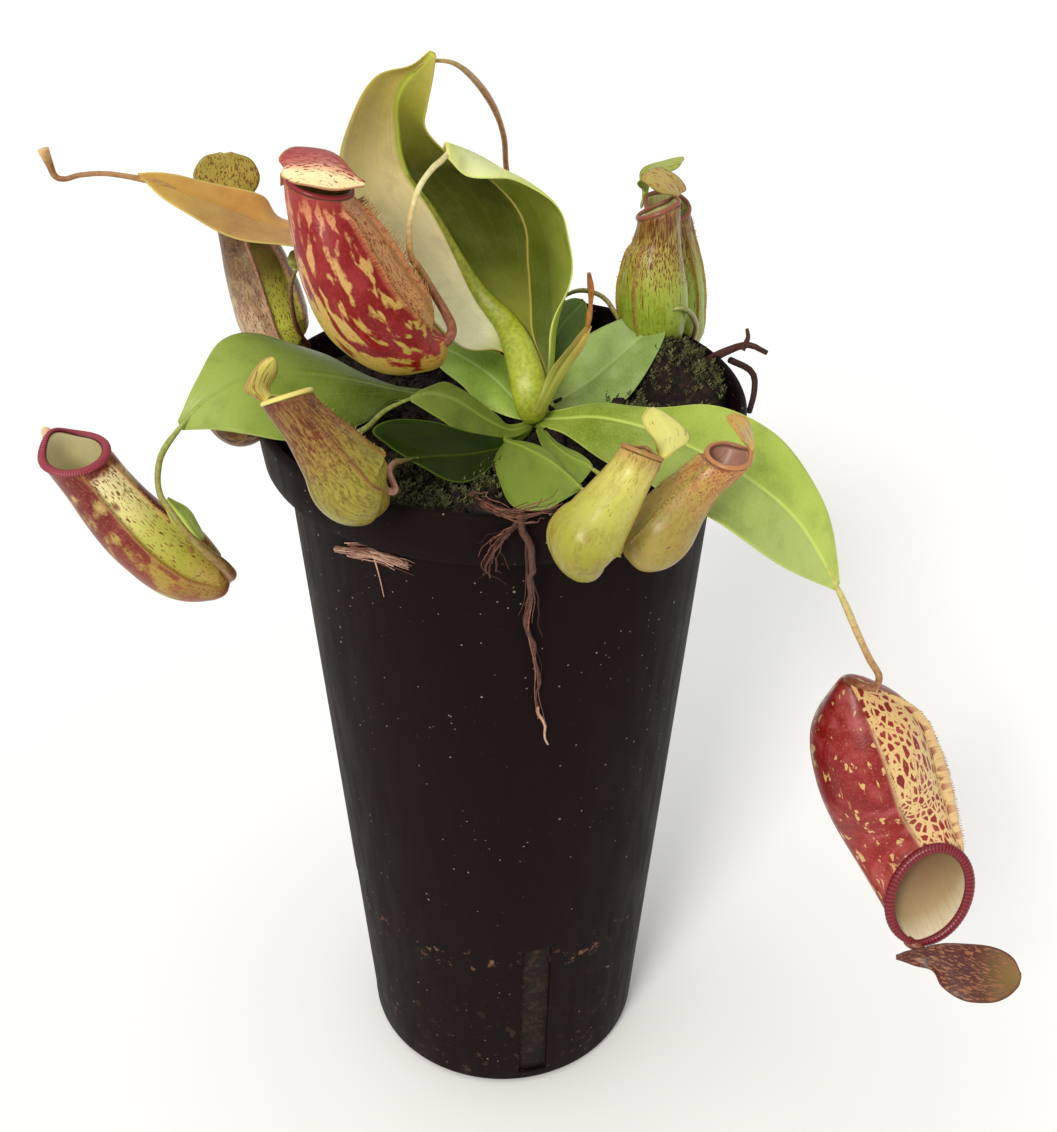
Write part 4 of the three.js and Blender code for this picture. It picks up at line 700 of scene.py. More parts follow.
# Polypropylene, injection moulded: near-black satin with faint drawn lines, dust and dried peat.
def mouldedPlastic(name):
    material, add = startMaterial(name)
    spot = add("TexCoord", output="Object")
    z = add("SeparateXYZ", [spot], 2)
    # dust: specks of 0.3 to 0.6 mm, and soft smears some 20 mm long
    specks = add("TexVoronoi", {"Scale": 1000 / 4.2, "Randomness": 1.0, 0: spot}, None)
    size = add("SeparateXYZ", [specks["Color"]])
    limit = add("MapRange", [size, 0.55, 1.0, 0.0, 0.085], **smoothly)
    dot = add("Math", [specks["Distance"], limit], operation="LESS_THAN")
    long = add("Mapping", {3: (1000 / 5, 1000 / 5, 1000 / 22), 0: spot})
    smear = add("TexNoise", {"Scale": 1.0, "Detail": 4.0, "Roughness": 0.6, 0: long})
    # finer dust in patches, and dried splashes in a line about 60 mm up, thinning out towards the foot
    fine = add("TexVoronoi", {"Scale": 1000 / 2.1, "Randomness": 1.0, 0: spot}, None)
    rare = add("SeparateXYZ", [fine["Color"]], 1)
    drift = add("TexNoise", {"Scale": 1000 / 26, "Detail": 3.0, 0: spot})
    limit = add("Math", [add("MapRange", [rare, 0.45, 1.0, 0.03, 0.13], **smoothly),
                         add("MapRange", [drift, 0.38, 0.56, 0.0, 1.0], **smoothly)], **times)
    dot = add("Math", [dot, add("Math", [fine["Distance"], limit], operation="LESS_THAN")], **largest)
    ring = add("Math", [add("MapRange", [z, 0.053, 0.058, 0.0, 1.0], **smoothly),
                        add("MapRange", [z, 0.066, 0.061, 0.0, 1.0], **smoothly)], **times)
    ring = add("Math", [ring, add("MapRange", [z, 0.058, 0.01, 0.0, 0.3], **smoothly)], **largest)
    patch = add("TexNoise", {"Scale": 1000 / 4, "Detail": 5.0, "Roughness": 0.7, 0: spot})
    splash = add("Math", [ring, add("MapRange", [patch, 0.58, 0.66, 0.0, 0.8], **smoothly)], **times)
    tone = "#17100f"
    for cover, over in ((add("MapRange", [smear, 0.5, 0.8, 0.0, 0.12], **smoothly), "#2a201d"),
                        (add("Math", [dot, 0.7], **times), "#8f877c"),
                        (splash, "#7a5a46")):
        tone = add("Mix", {0: cover, 6: tone, 7: over}, 2, **inColour)
    lines = add("Mapping", {3: (1000 / 1.6, 1000 / 1.6, 1000 / 60), 0: spot})
    drawn = add("TexNoise", {"Scale": 1.0, "Detail": 2.0, 0: lines})
    return endMaterial(material, {
        "Base Color": tone, "IOR": 1.49, "Specular IOR Level": 0.05, "Specular Tint": "#c8a48e",
        "Roughness": add("MapRange", [smear, 0.35, 0.7, 0.5, 0.62], **smoothly),
        "Normal": add("Bump", {"Strength": 0.25, "Distance": 0.0001, "Height": drawn}),
    })


def buildPot():
    height, band, base = pot["height"], pot["height"] - pot["bandHeight"], pot["base"]
    rim, foot, wall, shoulder = pot["rimRadius"], pot["bandFoot"], pot["wall"], pot["shoulder"]
    # up the outside from the foot, over the rolled rim, and down the inside to the floor
    profile = [(base - 3, 0), (base - 1.9, 0.25), (base - 0.9, 0.9), (base - 0.25, 1.8), (base, 3)]
    for z in np.linspace(3, band - 0.6, 22)[1:]:
        profile.append((base + (shoulder - base) * (z - 3) / (band - 3), z))
    profile += [(shoulder + 0.5, band), (foot - 0.9, band), (foot - 0.25, band + 0.15),
                (foot, band + 0.7), (foot + 0.6, band + 5.5)]
    profile += [(rim - 0.25, height - 2.2), (rim - 0.3, height - 1.2), (rim - 0.65, height - 0.45),
                (rim - 1.15, height - 0.08), (rim - 1.5, height), (rim - 1.95, height - 0.12),
                (rim - 2.35, height - 0.6), (rim - 2.5, height - 1.3), (rim - 2.7, height - 3.5)]
    profile += [(foot - wall - 0.6, band + 2.5), (foot - wall - 1.2, band + 1),
                (shoulder - wall + 0.4, band - 1.2), (shoulder - wall, band - 2.5)]
    for z in np.linspace(band - 2.5, pot["floor"] + 1.5, 12)[1:]:
        profile.append((base - wall + (shoulder - base) * (z - 3) / (band - 3), z))
    profile.append((base - wall - 1, pot["floor"]))
    turn = np.linspace(0, 2 * math.pi, pot["sides"], endpoint=False)
    rings = np.array([[(r * math.cos(a), r * math.sin(a), z) for a in turn] for r, z in profile])
    faces = tubeFaces(len(profile), pot["sides"])
    plastic = mouldedPlastic("polypropyleneMoulded")
    piece = addPiece("pot_shell", rings, faces, plastic, ["pot"])
    slot = pot["slot"]
    cutters = []
    for i in range(slot["count"]):
        form = bmesh.new()
        bmesh.ops.create_cube(form, size=0.001)
        turned = 2 * math.pi * i / slot["count"] + math.asin(slot["frontX"] / base)
        for vertex in form.verts:
            x = vertex.co.x * slot["width"]
            y = vertex.co.y * slot["depth"] - base * 0.001
            z = vertex.co.z * slot["height"] + (slot["foot"] + slot["height"] / 2) * 0.001
            vertex.co = (x * math.cos(turned) - y * math.sin(turned),
                         x * math.sin(turned) + y * math.cos(turned), z)
        bmesh.ops.bevel(form, geom=form.edges, offset=0.0008, segments=3, profile=0.5, affect="EDGES")
        mesh = bpy.data.meshes.new("slotCutter")
        form.to_mesh(mesh)
        form.free()
        modifier = piece.modifiers.new("slot", "BOOLEAN")
        modifier.operation = "DIFFERENCE"
        modifier.object = addObject("slotCutter", mesh)
        modifier.solver = "EXACT"
        cutters.append(modifier.object)
    bpy.context.view_layer.update()
    cut = bpy.data.meshes.new_from_object(piece.evaluated_get(bpy.context.evaluated_depsgraph_get()))
    piece.modifiers.clear()
    piece.data = cut
    for cutter in cutters:
        bpy.data.objects.remove(cutter)
    cut.shade_smooth()
    cut.set_sharp_from_angle(angle=math.radians(35))


buildPot()
print("pot made")


def peatHeight(x, y):
    rolling = 0.7 * np.sin(x * 0.23 + 1) * np.cos(y * 0.19) + 0.5 * np.sin(x * 0.51 - y * 0.43)
    return soilTop + rolling + 3 * np.exp(-((x - 44) ** 2 + (y - 30) ** 2) / 500)


# Sphagnum peat, damp and crumbled: matt, near black with brown fibres.
def crumbledPeat(name, stops):
    material, add = startMaterial(name)
    spot = add("TexCoord", output="Object")
    crumb = add("TexNoise", {"Scale": 1000 / 2.2, "Detail": 6.0, "Roughness": 0.7, 0: spot})
    return endMaterial(material, {
        "Base Color": add("ValToRGB", [crumb], stops=stops), "Roughness": 0.88,
        "Specular IOR Level": 0.25,
        "Normal": add("Bump", {"Strength": 0.9, "Distance": 0.0006, "Height": crumb}),
    })


# Moss and dry roots, grown: matt, each thread in its own tone.
def fibrous(name, low, high, roughness):
    material, add = startMaterial(name)
    tint = add("Attribute", output="Fac", attribute_name="tint")
    grain = add("TexNoise", {"Scale": 1000 / 0.9, "Detail": 3.0, 0: add("TexCoord", output="Object")})
    tone = add("Mix", {0: tint, 6: low, 7: high}, 2, **inColour)
    cover = add("MapRange", [grain, 0.35, 0.7, 0, 0.5], **smoothly)
    return endMaterial(material, {
        "Base Color": add("Mix", {0: cover, 6: tone, 7: tone}, 2, **inColour, blend_type="MULTIPLY"),
        "Roughness": roughness, "Specular IOR Level": 0.3,
        "Normal": add("Bump", {"Strength": 0.6, "Distance": 0.0002, "Height": grain}),
    })


peatTones = [(0.3, "#0b0706"), (0.5, "#1c130e"), (0.62, "#33241a"), (0.8, "#4e3a28")]
peatMaterial = crumbledPeat("peatCrumbled", peatTones)


def buildPeat():
    sides = 240
    turn = np.linspace(0, 2 * math.pi, sides, endpoint=False)
    rings = []
    levels = [(3.3, 41.9), (3.4, 42.1), (20, 43.2), (60, 45.9), (120, 50), (180, 54), (208, 55.4),
              (213, 58), (216.5, 60.3), (218, 60.6)]
    for z, radius in levels:
        ring = np.stack([np.cos(turn) * radius, np.sin(turn) * radius, np.full(sides, z)], -1)
        rings.append(ring)
    for radius in np.concatenate([[60.2, 59.4], np.linspace(58.4, 1.5, 70)]):
        x, y = np.cos(turn) * radius, np.sin(turn) * radius
        flat = np.stack([x, y, np.zeros(sides)], -1)
        rough = 1.1 * lumps(flat, 7, 1) + 0.9 * lumps(flat, 2.6, 2) + 0.45 * lumps(flat, 1.2, 3)
        rings.append(np.stack([x, y, peatHeight(x, y) - 0.4 + rough * min(1, (61 - radius) / 3)], -1))
    rings = np.array(rings)
    addPiece("peat_fill", rings, tubeFaces(len(rings), sides), peatMaterial, ["peat"])


def seedGrains(spots, sizes, draw):
    # small angular crumbs, each a jittered icosahedron
    golden = (1 + 5 ** 0.5) / 2
    corners = np.array([(-1, golden, 0), (1, golden, 0), (-1, -golden, 0), (1, -golden, 0),
                        (0, -1, golden), (0, 1, golden), (0, -1, -golden), (0, 1, -golden),
                        (golden, 0, -1), (golden, 0, 1), (-golden, 0, -1), (-golden, 0, 1)]) / 1.9
    triangles = np.array([(0, 11, 5), (0, 5, 1), (0, 1, 7), (0, 7, 10), (0, 10, 11), (1, 5, 9), (5, 11, 4),
                          (11, 10, 2), (10, 7, 6), (7, 1, 8), (3, 9, 4), (3, 4, 2), (3, 2, 6), (3, 6, 8),
                          (3, 8, 9), (4, 9, 5), (2, 4, 11), (6, 2, 10), (8, 6, 7), (9, 8, 1)])
    points = corners[None] * (1 + 0.35 * (draw.random((len(spots), 12, 1)) - 0.5)) * sizes[:, None, None]
    points = points * (0.6 + 0.8 * draw.random((len(spots), 1, 3)))
    angle = draw.random(len(spots)) * 6.28
    cosine, sine = np.cos(angle)[:, None], np.sin(angle)[:, None]
    x, y, z = points[..., 0], points[..., 1], points[..., 2]
    turned = np.stack([x * cosine - y * sine, x * sine + y * cosine, z], -1)
    faces = (triangles[None] + (np.arange(len(spots)) * 12)[:, None, None]).reshape(-1, 3).tolist()
    return turned + spots[:, None], faces


def onPatch(patch, u, v):
    # from shares of an ellipse's two reaches to x and y
    u, v = u * patch["reach"][0], v * patch["reach"][1]
    c, s = math.cos(patch["turn"]), math.sin(patch["turn"])
    return patch["at"][0] + u * c - v * s, patch["at"][1] + u * s + v * c


def spotsWithin(patch, draw):
    reach = np.sqrt(draw.random(patch["count"]))
    angle = draw.random(patch["count"]) * 2 * math.pi
    return onPatch(patch, reach * np.cos(angle), reach * np.sin(angle))


def scatterCrumbs():
    draw = np.random.default_rng(crumbs["seed"])
    x, y = spotsWithin(crumbs, draw)
    least, most = crumbs["size"]
    sizes = least + (most - least) * draw.random(crumbs["count"]) ** 2.5
    spots = np.stack([x, y, peatHeight(x, y) + 0.25 * sizes], -1)
    points, faces = seedGrains(spots, sizes, draw)
    addPiece("peat_crumbs", points, faces, peatMaterial, ["peat"], smooth=False)


def threads(name, lines, material, nodes, sides=5):
    # many thin strands in one piece: each line is (points, start radius, end radius, tint)
    allPoints, faces, tints, offset = [], [], [], 0
    for path, start, end, tint in lines:
        count = max(5, 3 * len(path))
        points = evenCurve(path, np.linspace(0, 1, count))
        rings = roundLine(points, np.linspace(start, end, count), sides)
        allPoints.append(rings.reshape(-1, 3))
        faces += tubeFaces(count, sides, offset)
        tints.append(np.full(count * sides, tint))
        offset += count * sides
    marks = {"tint": np.concatenate(tints)}
    addPiece(name, np.concatenate(allPoints), faces, material, nodes, marks)


def mossTufts(name, patches, seed, nodes):
    # shoots of nine leaves that turn round a leaning stem, each leaf a thin pointed wedge
    draw = np.random.default_rng(seed)
    points, faces, tints, offset = [], [], [], 0
    leaves, leafLength, leafHalfWidth = 9, 1.5, 0.28
    for patch in patches:
        for px, py in zip(*spotsWithin(patch, draw)):
            rise = patch["lift"](px, py) if "lift" in patch else 0
            foot = np.array([px, py, peatHeight(px, py) + rise - 0.6])
            lean = unit(np.array([draw.normal() * 0.45, draw.normal() * 0.45, 1.0]))
            tall = patch["height"] * (0.6 + 0.7 * draw.random())
            tint = draw.random()
            for leaf in range(leaves):
                at = foot + lean * tall * (0.15 + 0.85 * leaf / leaves)
                angle = leaf * 2.4 + draw.random()
                out = unit(np.array([math.cos(angle), math.sin(angle), 0.7 + 0.6 * draw.random()]))
                length = leafLength * (1.1 - 0.5 * leaf / leaves)
                side = unit(np.cross(out, lean)) * leafHalfWidth
                points.append(np.array([at - side, at + side, at + out * length,
                                        at + lean * 0.3 + out * length * 0.35]))
                faces += [(offset, offset + 1, offset + 2), (offset, offset + 3, offset + 1),
                          (offset + 1, offset + 3, offset + 2), (offset, offset + 2, offset + 3)]
                tints.append(np.full(4, min(1, max(0, tint + 0.25 * draw.normal()))))
                offset += 4
    marks = {"tint": np.concatenate(tints)}
    material = fibrous("mossLiving_" + name, "#2a2a16", "#77784a", 0.8)
    addPiece(name, np.concatenate(points), faces, material, nodes, marks, smooth=False)


def heapRise(x, y):
    c, s = math.cos(heap["turn"]), math.sin(heap["turn"])
    dx, dy = x - heap["at"][0], y - heap["at"][1]
    u, v = (dx * c + dy * s) / heap["reach"][0], (-dx * s + dy * c) / heap["reach"][1]
    return heap["height"] * np.clip(1.25 * (1 - u * u - v * v), 0, 1) ** 0.7


heap = {"at": (49, 14), "reach": (11, 18), "turn": 0.3, "height": 9}


def buildHeap():
    sides, levels = 96, 26
    turn = np.linspace(0, 2 * math.pi, sides, endpoint=False)
    rings = []
    for share in np.concatenate([[0.9, 0.97, 1.0], np.linspace(0.99, 0.03, levels)]):
        x, y = onPatch(heap, np.cos(turn) * share, np.sin(turn) * share)
        rings.append(np.stack([x, y, peatHeight(x, y) + 0.4], -1))
    rings = np.array(rings)
    top = rings[2:]
    flat = top * [1, 1, 0]
    rise = heapRise(top[..., 0], top[..., 1])
    rough = 1.6 * lumps(flat, 5, 4) + 1.2 * lumps(flat, 2.2, 5) + 0.5 * lumps(flat, 1, 6)
    top[..., 2] += rise + rough * np.clip(rise / 4, 0.25, 1)
    addPiece("peat_heap", rings, tubeFaces(len(rings), sides), peatMaterial, ["peat_clump"])


crumbs = {"at": (0, 0), "reach": (58.5, 58.5), "turn": 0, "count": 1500, "size": (0.5, 2.4), "seed": 4}
buildPeat()
scatterCrumbs()
buildHeap()
mossFront = {"at": (-14, -38), "reach": (16, 12), "turn": 0.3, "count": 330, "height": 3.6}
mossLeft = {"at": (-34, -34), "reach": (9, 14), "turn": 0.8, "count": 90, "height": 2.6}
mossRight = {"at": (40, 6), "reach": (14, 20), "turn": 0.3, "count": 330, "height": 3.6}
mossHeap = {
    "at": heap["at"], "reach": (10, 17), "turn": 0.3, "count": 200, "height": 3.2, "lift": heapRise,
}
mossTufts("moss_tufts_front", [mossFront, mossLeft], 21, ["moss"])
mossTufts("moss_tufts_right", [mossRight, mossHeap], 22, ["peat_clump"])
print("peat and moss made")

# Dry rootlets over the front rim, as places in the photograph with their depth.
rootTangle = {
    "rim": [(470, 492, -51), (482, 502, -62), (500, 512, -67.3), (522, 516, -67.5), (545, 512, -66.9),
        (558, 505, -63.5)],
    "down": [(522, 514, -67.3), (526, 535, -67), (528, 553, -66.5), (530, 575, -63.4), (532, 600, -60.4),
        (527, 626, -59.2), (535, 665, -57), (536, 695, -55.6), (540, 715, -54.5), (547, 745, -53)],
    "branch": [(530, 515, -67.3), (510, 530, -67.2), (496, 545, -66.7), (489, 563, -66),
        (492, 578, -63.5)],
    "seed": 9,
}
rootScrap = {
    "body": [(336, 549, -40.4), (353, 551, -45.5), (373, 554, -49.5), (392, 560, -52), (408, 564, -53.7)],
    "hair": [(373, 554, -49.5), (379, 575, -49.4), (384, 597, -49.3)], "seed": 5,
}
rootMaterial = fibrous("rootletsDry", "#2c1611", "#93604c", 0.6)
scrapMaterial = fibrous("barkScrapDry", "#6c4034", "#d0a892", 0.6)


def strandBundle(path, count, spread, radii, draw, start, end, kink, rooted=0.15):
    # strands that keep near a path, each with its own length, thickness and kinks
    path = placeAll(path)
    lines = []
    for _ in range(count):
        a = start + (end - start) * draw.random() * 0.5
        b = min(1.0, a + (end - start) * (0.35 + 0.6 * draw.random()))
        points = evenCurve(path, np.linspace(a, b, 9))
        offset = draw.normal(size=3) * spread * np.array([1, 0.45, 1])
        wander = np.cumsum(draw.normal(size=(9, 3)) * kink * np.array([0.5, 0.2, 0.35]), axis=0)
        points = points + (offset + wander - wander[:1] * 0.5) * np.linspace(rooted, 1, 9)[:, None]
        thick = radii[0] + (radii[1] - radii[0]) * draw.random() ** 2
        lines.append((keepOffPot(points), thick, thick * 0.4, draw.random()))
    return lines


def keepOffPot(points):
    # what hangs down the outside stays on the pot's surface or in front of it
    radius = np.hypot(points[:, 0], points[:, 1])
    z = points[:, 2]
    band = pot["height"] - pot["bandHeight"]
    cone = pot["base"] + (pot["shoulder"] - pot["base"]) * (z - 3) / (band - 3)
    wallRadius = np.where(z > band - 0.5, pot["rimRadius"], cone) + 0.2
    outside = (z < pot["height"] + 0.3) & (radius > np.minimum(pot["rimRadius"], wallRadius) - 6)
    push = np.where(outside & (radius < wallRadius + 0.2), (wallRadius + 0.2) / np.maximum(radius, 1), 1)
    return points * np.stack([push, push, np.ones_like(push)], -1)


def buildRoots():
    draw = np.random.default_rng(rootTangle["seed"])
    lines = []
    for key, radii in (("rim", (0.6, 0.35)), ("down", (1.0, 0.24)), ("branch", (0.5, 0.22))):
        line = evenCurve(placeAll(rootTangle[key]), np.linspace(0, 1, 34))
        line = line + np.stack([lumps(line, 5, k) for k in range(3)], -1) * np.array([1.6, 0.3, 0.8])
        lines.append((keepOffPot(line), radii[0], radii[1], 0.3))
        if key == "down":
            tip = keepOffPot(line[27:])
    lines += strandBundle(rootTangle["rim"], 18, 1.5, (0.12, 0.36), draw, 0, 1, 1.9)
    lines += strandBundle(rootTangle["down"], 9, 0.8, (0.12, 0.36), draw, 0, 0.5, 0.8)
    lines += strandBundle(rootTangle["down"], 6, 0.4, (0.12, 0.26), draw, 0.1, 0.9, 0.35)
    lines += strandBundle(rootTangle["branch"], 12, 1.3, (0.1, 0.32), draw, 0, 1, 1.5)
    threads("root_tangle_strands", lines, rootMaterial, ["root_tangle"])
    threads("root_tangle_tip", [(tip, 0.52, 0.26, 0.9)], scrapMaterial, ["root_tangle"])
    draw = np.random.default_rng(rootScrap["seed"])
    lines = [(placeAll(rootScrap["body"]), 0.9, 0.6, 0.6), (placeAll(rootScrap["hair"]), 0.25, 0.1, 0.9)]
    lines += strandBundle(rootScrap["body"], 30, 1.0, (0.15, 0.6), draw, 0, 1, 0.7, 0.9)
    threads("root_scrap_fibres", lines, scrapMaterial, ["root_scrap"])


buildRoots()
twigs = [([(700, 365, 24), (725, 352, 24), (748, 345, 22), (767, 353, 19)], 1.5, 0.7, 0.2),
    ([(742, 350, 22), (748, 338, 23), (747, 329, 23)], 0.9, 0.5, 0.3),
    ([(730, 360, 22), (752, 372, 14), (754, 392, 8), (749, 412, 2)], 1.0, 0.8, 0.1),
    ([(670, 392, 14), (672, 372, 16), (680, 362, 17), (688, 366, 16), (684, 380, 14)], 0.5, 0.35, 1.0),
    ([(676, 396, 12), (682, 384, 14), (686, 372, 15)], 0.4, 0.25, 0.9)]


def buildTwigs():
    lines = [(placeAll(path), start, end, tint) for path, start, end, tint in twigs]
    bark = fibrous("twigsBroken", "#1c130f", "#9a5a4a", 0.8)
    threads("clump_twigs", lines, bark, ["peat_clump"], sides=7)


buildTwigs()
print("roots made")

leafTall = {
    "mid": [(536, 412, -4), (526, 368, 2), (510, 330, 8), (477, 289, 13), (436, 215, 17), (406, 172, 17),
        (397, 130, 14), (400, 90, 8), (433, 53, 2)],
    "left": [(526, 414, -6), (517, 368, -1), (498, 350, 0), (456, 344, 1), (392, 275, 3), (350, 210, 4),
        (341, 158, 4), (354, 108, 4), (376, 78, 4), (409, 66, 3), (430, 51, 2)],
    "right": [(548, 414, -6), (546, 370, -1), (531, 326, 5), (530, 265, 7), (524, 223, 7), (495, 181, 5),
        (466, 168, 3), (440, 148, 2), (426, 127, 2), (428, 106, 2), (436, 56, 1)],
    "fold": 0.1,
    "tendril": [(431, 55, 2), (445, 61, 4), (462, 68, 9), (480, 86, 20), (495, 110, 30), (504, 138, 39),
        (507, 173, 46), (518, 215, 51), (529, 255, 52), (531, 292, 49)],
    "thick": [0.9, 0.8, 0.9, 1.3],
}

leafHood = {
    "mid": [(541, 412, 0), (550, 360, 18), (552, 300, 30), (545, 240, 34), (524, 192, 26), (488, 164, 12),
        (446, 144, -6)],
    "left": [(536, 412, 2), (522, 350, 28), (500, 290, 38), (485, 235, 38), (472, 200, 30),
        (455, 172, 18), (443, 148, -3)],
    "right": [(546, 412, 0), (549, 340, 12), (568, 288, 16), (572, 250, 16), (562, 214, 14),
        (530, 186, 8), (492, 179, -3), (466, 174, -7), (447, 158, -9)],
    "fold": 0,
    "tendril": [(449, 149, -6), (442, 160, -11), (432, 169, -15), (420, 186, -20), (413, 206, -23),
        (409, 229, -24), (411, 256, -23), (419, 268, -22), (432, 290, -20), (445, 312, -22),
        (452, 329, -27), (447, 341, -30)],
    "thick": [0.7, 0.7, 0.75, 0.9, 1.1, 1.3],
}

leafLeft = {
    "mid": [(532, 416, 0), (500, 405, 2), (460, 400, 2), (408, 392, -3), (330, 376, -14), (260, 374, -22),
        (212, 396, -27), (180, 426, -30)],
    "left": [(530, 421, -2), (500, 411, 0), (460, 406, -1), (400, 400, -8), (362, 424, -22),
        (300, 441, -32), (247, 434, -35), (213, 430, -33), (183, 430, -30)],
    "right": [(534, 411, 2), (500, 400, 4), (460, 394, 4), (408, 388, 0), (362, 374, 0), (317, 352, 0),
        (262, 334, -6), (221, 342, -14), (196, 380, -24), (178, 421, -30)],
    "fold": 0.25,
    "tendril": [(183, 420, -30), (165, 448, -35), (158, 471, -41), (160, 494, -48), (172, 513, -53),
        (188, 534, -54.5), (207, 552, -53), (223, 565, -50), (230, 574, -45)],
    "thick": [0.8, 0.75, 0.85, 1.4, 1.8],
}

leafRight = {
    "mid": [(536, 420, -5), (562, 419, -11), (600, 418, -18), (650, 430, -28), (700, 452, -40),
        (756, 484, -50), (800, 525, -50), (837, 586, -48)],
    "left": [(536, 414, -2), (560, 410, -8), (602, 402, -12), (650, 408, -20), (703, 404, -28),
        (745, 416, -34), (785, 442, -40), (815, 486, -44), (833, 530, -46), (840, 583, -48)],
    "right": [(536, 426, -8), (560, 432, -16), (601, 459, -32), (650, 484, -53), (708, 517, -63),
        (748, 543, -63), (790, 571, -56), (834, 590, -48)],
    "fold": 0.35,
    "tendril": [(835, 580, -48), (845, 604, -47), (857, 632, -46), (869, 658, -46), (879, 676, -48),
        (874, 687, -51), (861, 685, -51), (849, 679, -46)],
    "thick": [0.9, 0.9, 1, 1.3],
}

leafOrange = {
    "mid": [(530, 408, 3), (480, 342, 20), (402, 262, 30), (340, 234, 26), (290, 229, 18), (240, 213, 12),
        (190, 194, 5), (139, 176, 0)],
    "left": [(526, 410, 2), (470, 350, 16), (398, 275, 24), (340, 251, 17), (295, 247, 8), (239, 239, 2),
        (176, 208, -2), (142, 179, 0)],
    "right": [(534, 405, 4), (484, 332, 26), (406, 250, 36), (345, 222, 33), (284, 218, 24),
        (262, 196, 20), (225, 186, 14), (165, 173, 4), (138, 173, 0)],
    "fold": 0.8,
    "tendril": [(143, 176, 0), (110, 174, -1), (81, 175, -2), (65, 179, -3), (55, 176, -3), (49, 163, -3),
        (43, 149, -3)],
    "thick": [0.8, 0.7, 0.65, 0.65, 0.8, 1.4],
}

leafBehind = {
    "mid": [(530, 412, 4), (480, 362, 16), (400, 304, 24), (340, 276, 20), (290, 262, 15)],
    "left": [(526, 413, 3), (474, 370, 11), (396, 318, 17), (340, 291, 13), (298, 272, 13),
        (288, 264, 15)],
    "right": [(532, 410, 5), (486, 352, 20), (404, 290, 29), (342, 262, 26), (296, 250, 19),
        (287, 259, 15)],
    "fold": 0.3,
    "tendril": [(294, 263, 15), (291, 285, 17), (293, 313, 20), (300, 334, 25), (308, 346, 30)],
    "thick": [0.7, 0.7, 1],
}

leafFrontLeft = {
    "mid": [(534, 424, -6), (510, 430, -13), (485, 419, -17), (455, 400, -21), (428, 393, -25),
        (410, 399, -27)],
    "left": [(532, 428, -8), (508, 442, -18), (489, 447, -23), (466, 436, -25), (439, 419, -27),
        (412, 402, -27.5)],
    "right": [(534, 420, -6), (510, 424, -11), (497, 415, -13), (480, 402, -14), (463, 389, -15),
        (446, 381, -17), (430, 386, -22), (411, 396, -26.5)],
    "fold": 0.6,
    "tendril": [(414, 399, -27), (386, 410, -30), (363, 430, -34), (335, 437, -34), (302, 426, -27),
        (280, 413, -20), (267, 416, -13)],
    "thick": [0.8, 0.8, 0.9],
}

leafLowLeft = {
    "mid": [(532, 430, -9), (505, 446, -21), (470, 454, -29), (438, 456, -36), (408, 459, -42)],
    "left": [(530, 434, -11), (500, 458, -27), (480, 477, -37), (463, 483, -41), (444, 479, -43),
        (422, 466, -43), (410, 462, -42)],
    "right": [(533, 428, -8), (508, 438, -18), (470, 432, -25), (430, 421, -29), (391, 420, -33),
        (372, 431, -36), (388, 445, -39), (406, 457, -42)],
    "fold": 0.3,
    "tendril": [(412, 459, -42), (403, 461, -47), (394, 463, -54), (389, 472, -61), (395, 490, -66)],
    "thick": [0.7, 0.7, 0.9],
}

leafFolded = {
    "mid": [(528, 432, -10), (506, 442, -20), (524, 450, -29), (550, 464, -38), (580, 488, -48)],
    "left": [(526, 436, -12), (497, 454, -25), (500, 482, -40), (513, 506, -53), (542, 511, -57),
        (562, 502, -54), (580, 491, -48)],
    "right": [(530, 430, -9), (512, 438, -17), (528, 443, -24), (554, 457, -33), (582, 486, -47)],
    "fold": 0.4,
    "tendril": [(577, 486, -47), (592, 498, -58), (601, 520, -69), (605, 546, -72), (606, 556, -77),
        (600, 561, -82)],
    "thick": [0.7, 0.8, 1],
}

leafFoldedBehind = {
    "mid": [(538, 428, -9), (552, 446, -24), (572, 460, -33), (592, 468, -38)],
    "left": [(536, 431, -11), (545, 452, -29), (560, 474, -39), (577, 485, -44), (591, 471, -39)],
    "right": [(540, 426, -8), (556, 440, -20), (576, 452, -28), (593, 466, -37)], "fold": 0.4,
    "tendril": [(589, 468, -38), (604, 478, -48), (617, 494, -58), (630, 514, -63), (637, 532, -67),
        (634, 546, -71)],
    "thick": [0.7, 0.8, 1],
}

leafShaded = {
    "mid": [(532, 418, -4), (514, 400, -3), (490, 376, 1), (456, 354, 6), (425, 343, 10)],
    "left": [(530, 422, -6), (505, 416, -8), (480, 404, -7), (463, 386, -4), (440, 368, 2), (424, 346, 9)],
    "right": [(534, 414, -2), (522, 384, 4), (505, 358, 8), (465, 342, 12), (426, 340, 11)], "fold": 0.2,
}

leafGreyRight = {
    "mid": [(540, 416, 0), (558, 402, 6), (590, 381, 12), (624, 352, 18), (667, 315, 23)],
    "left": [(537, 412, 2), (550, 385, 12), (564, 351, 21), (592, 333, 24), (624, 318, 26),
        (650, 310, 26), (666, 312, 23)],
    "right": [(543, 419, -2), (562, 411, 0), (592, 411, -1), (620, 403, 3), (641, 380, 9), (660, 349, 16),
        (669, 321, 22)],
    "fold": 0.35,
    "tendril": [(663, 317, 22), (675, 309, 20), (688, 311, 22), (696, 325, 30), (692, 342, 39),
        (685, 352, 42)],
    "thick": [0.8, 0.8, 1],
}

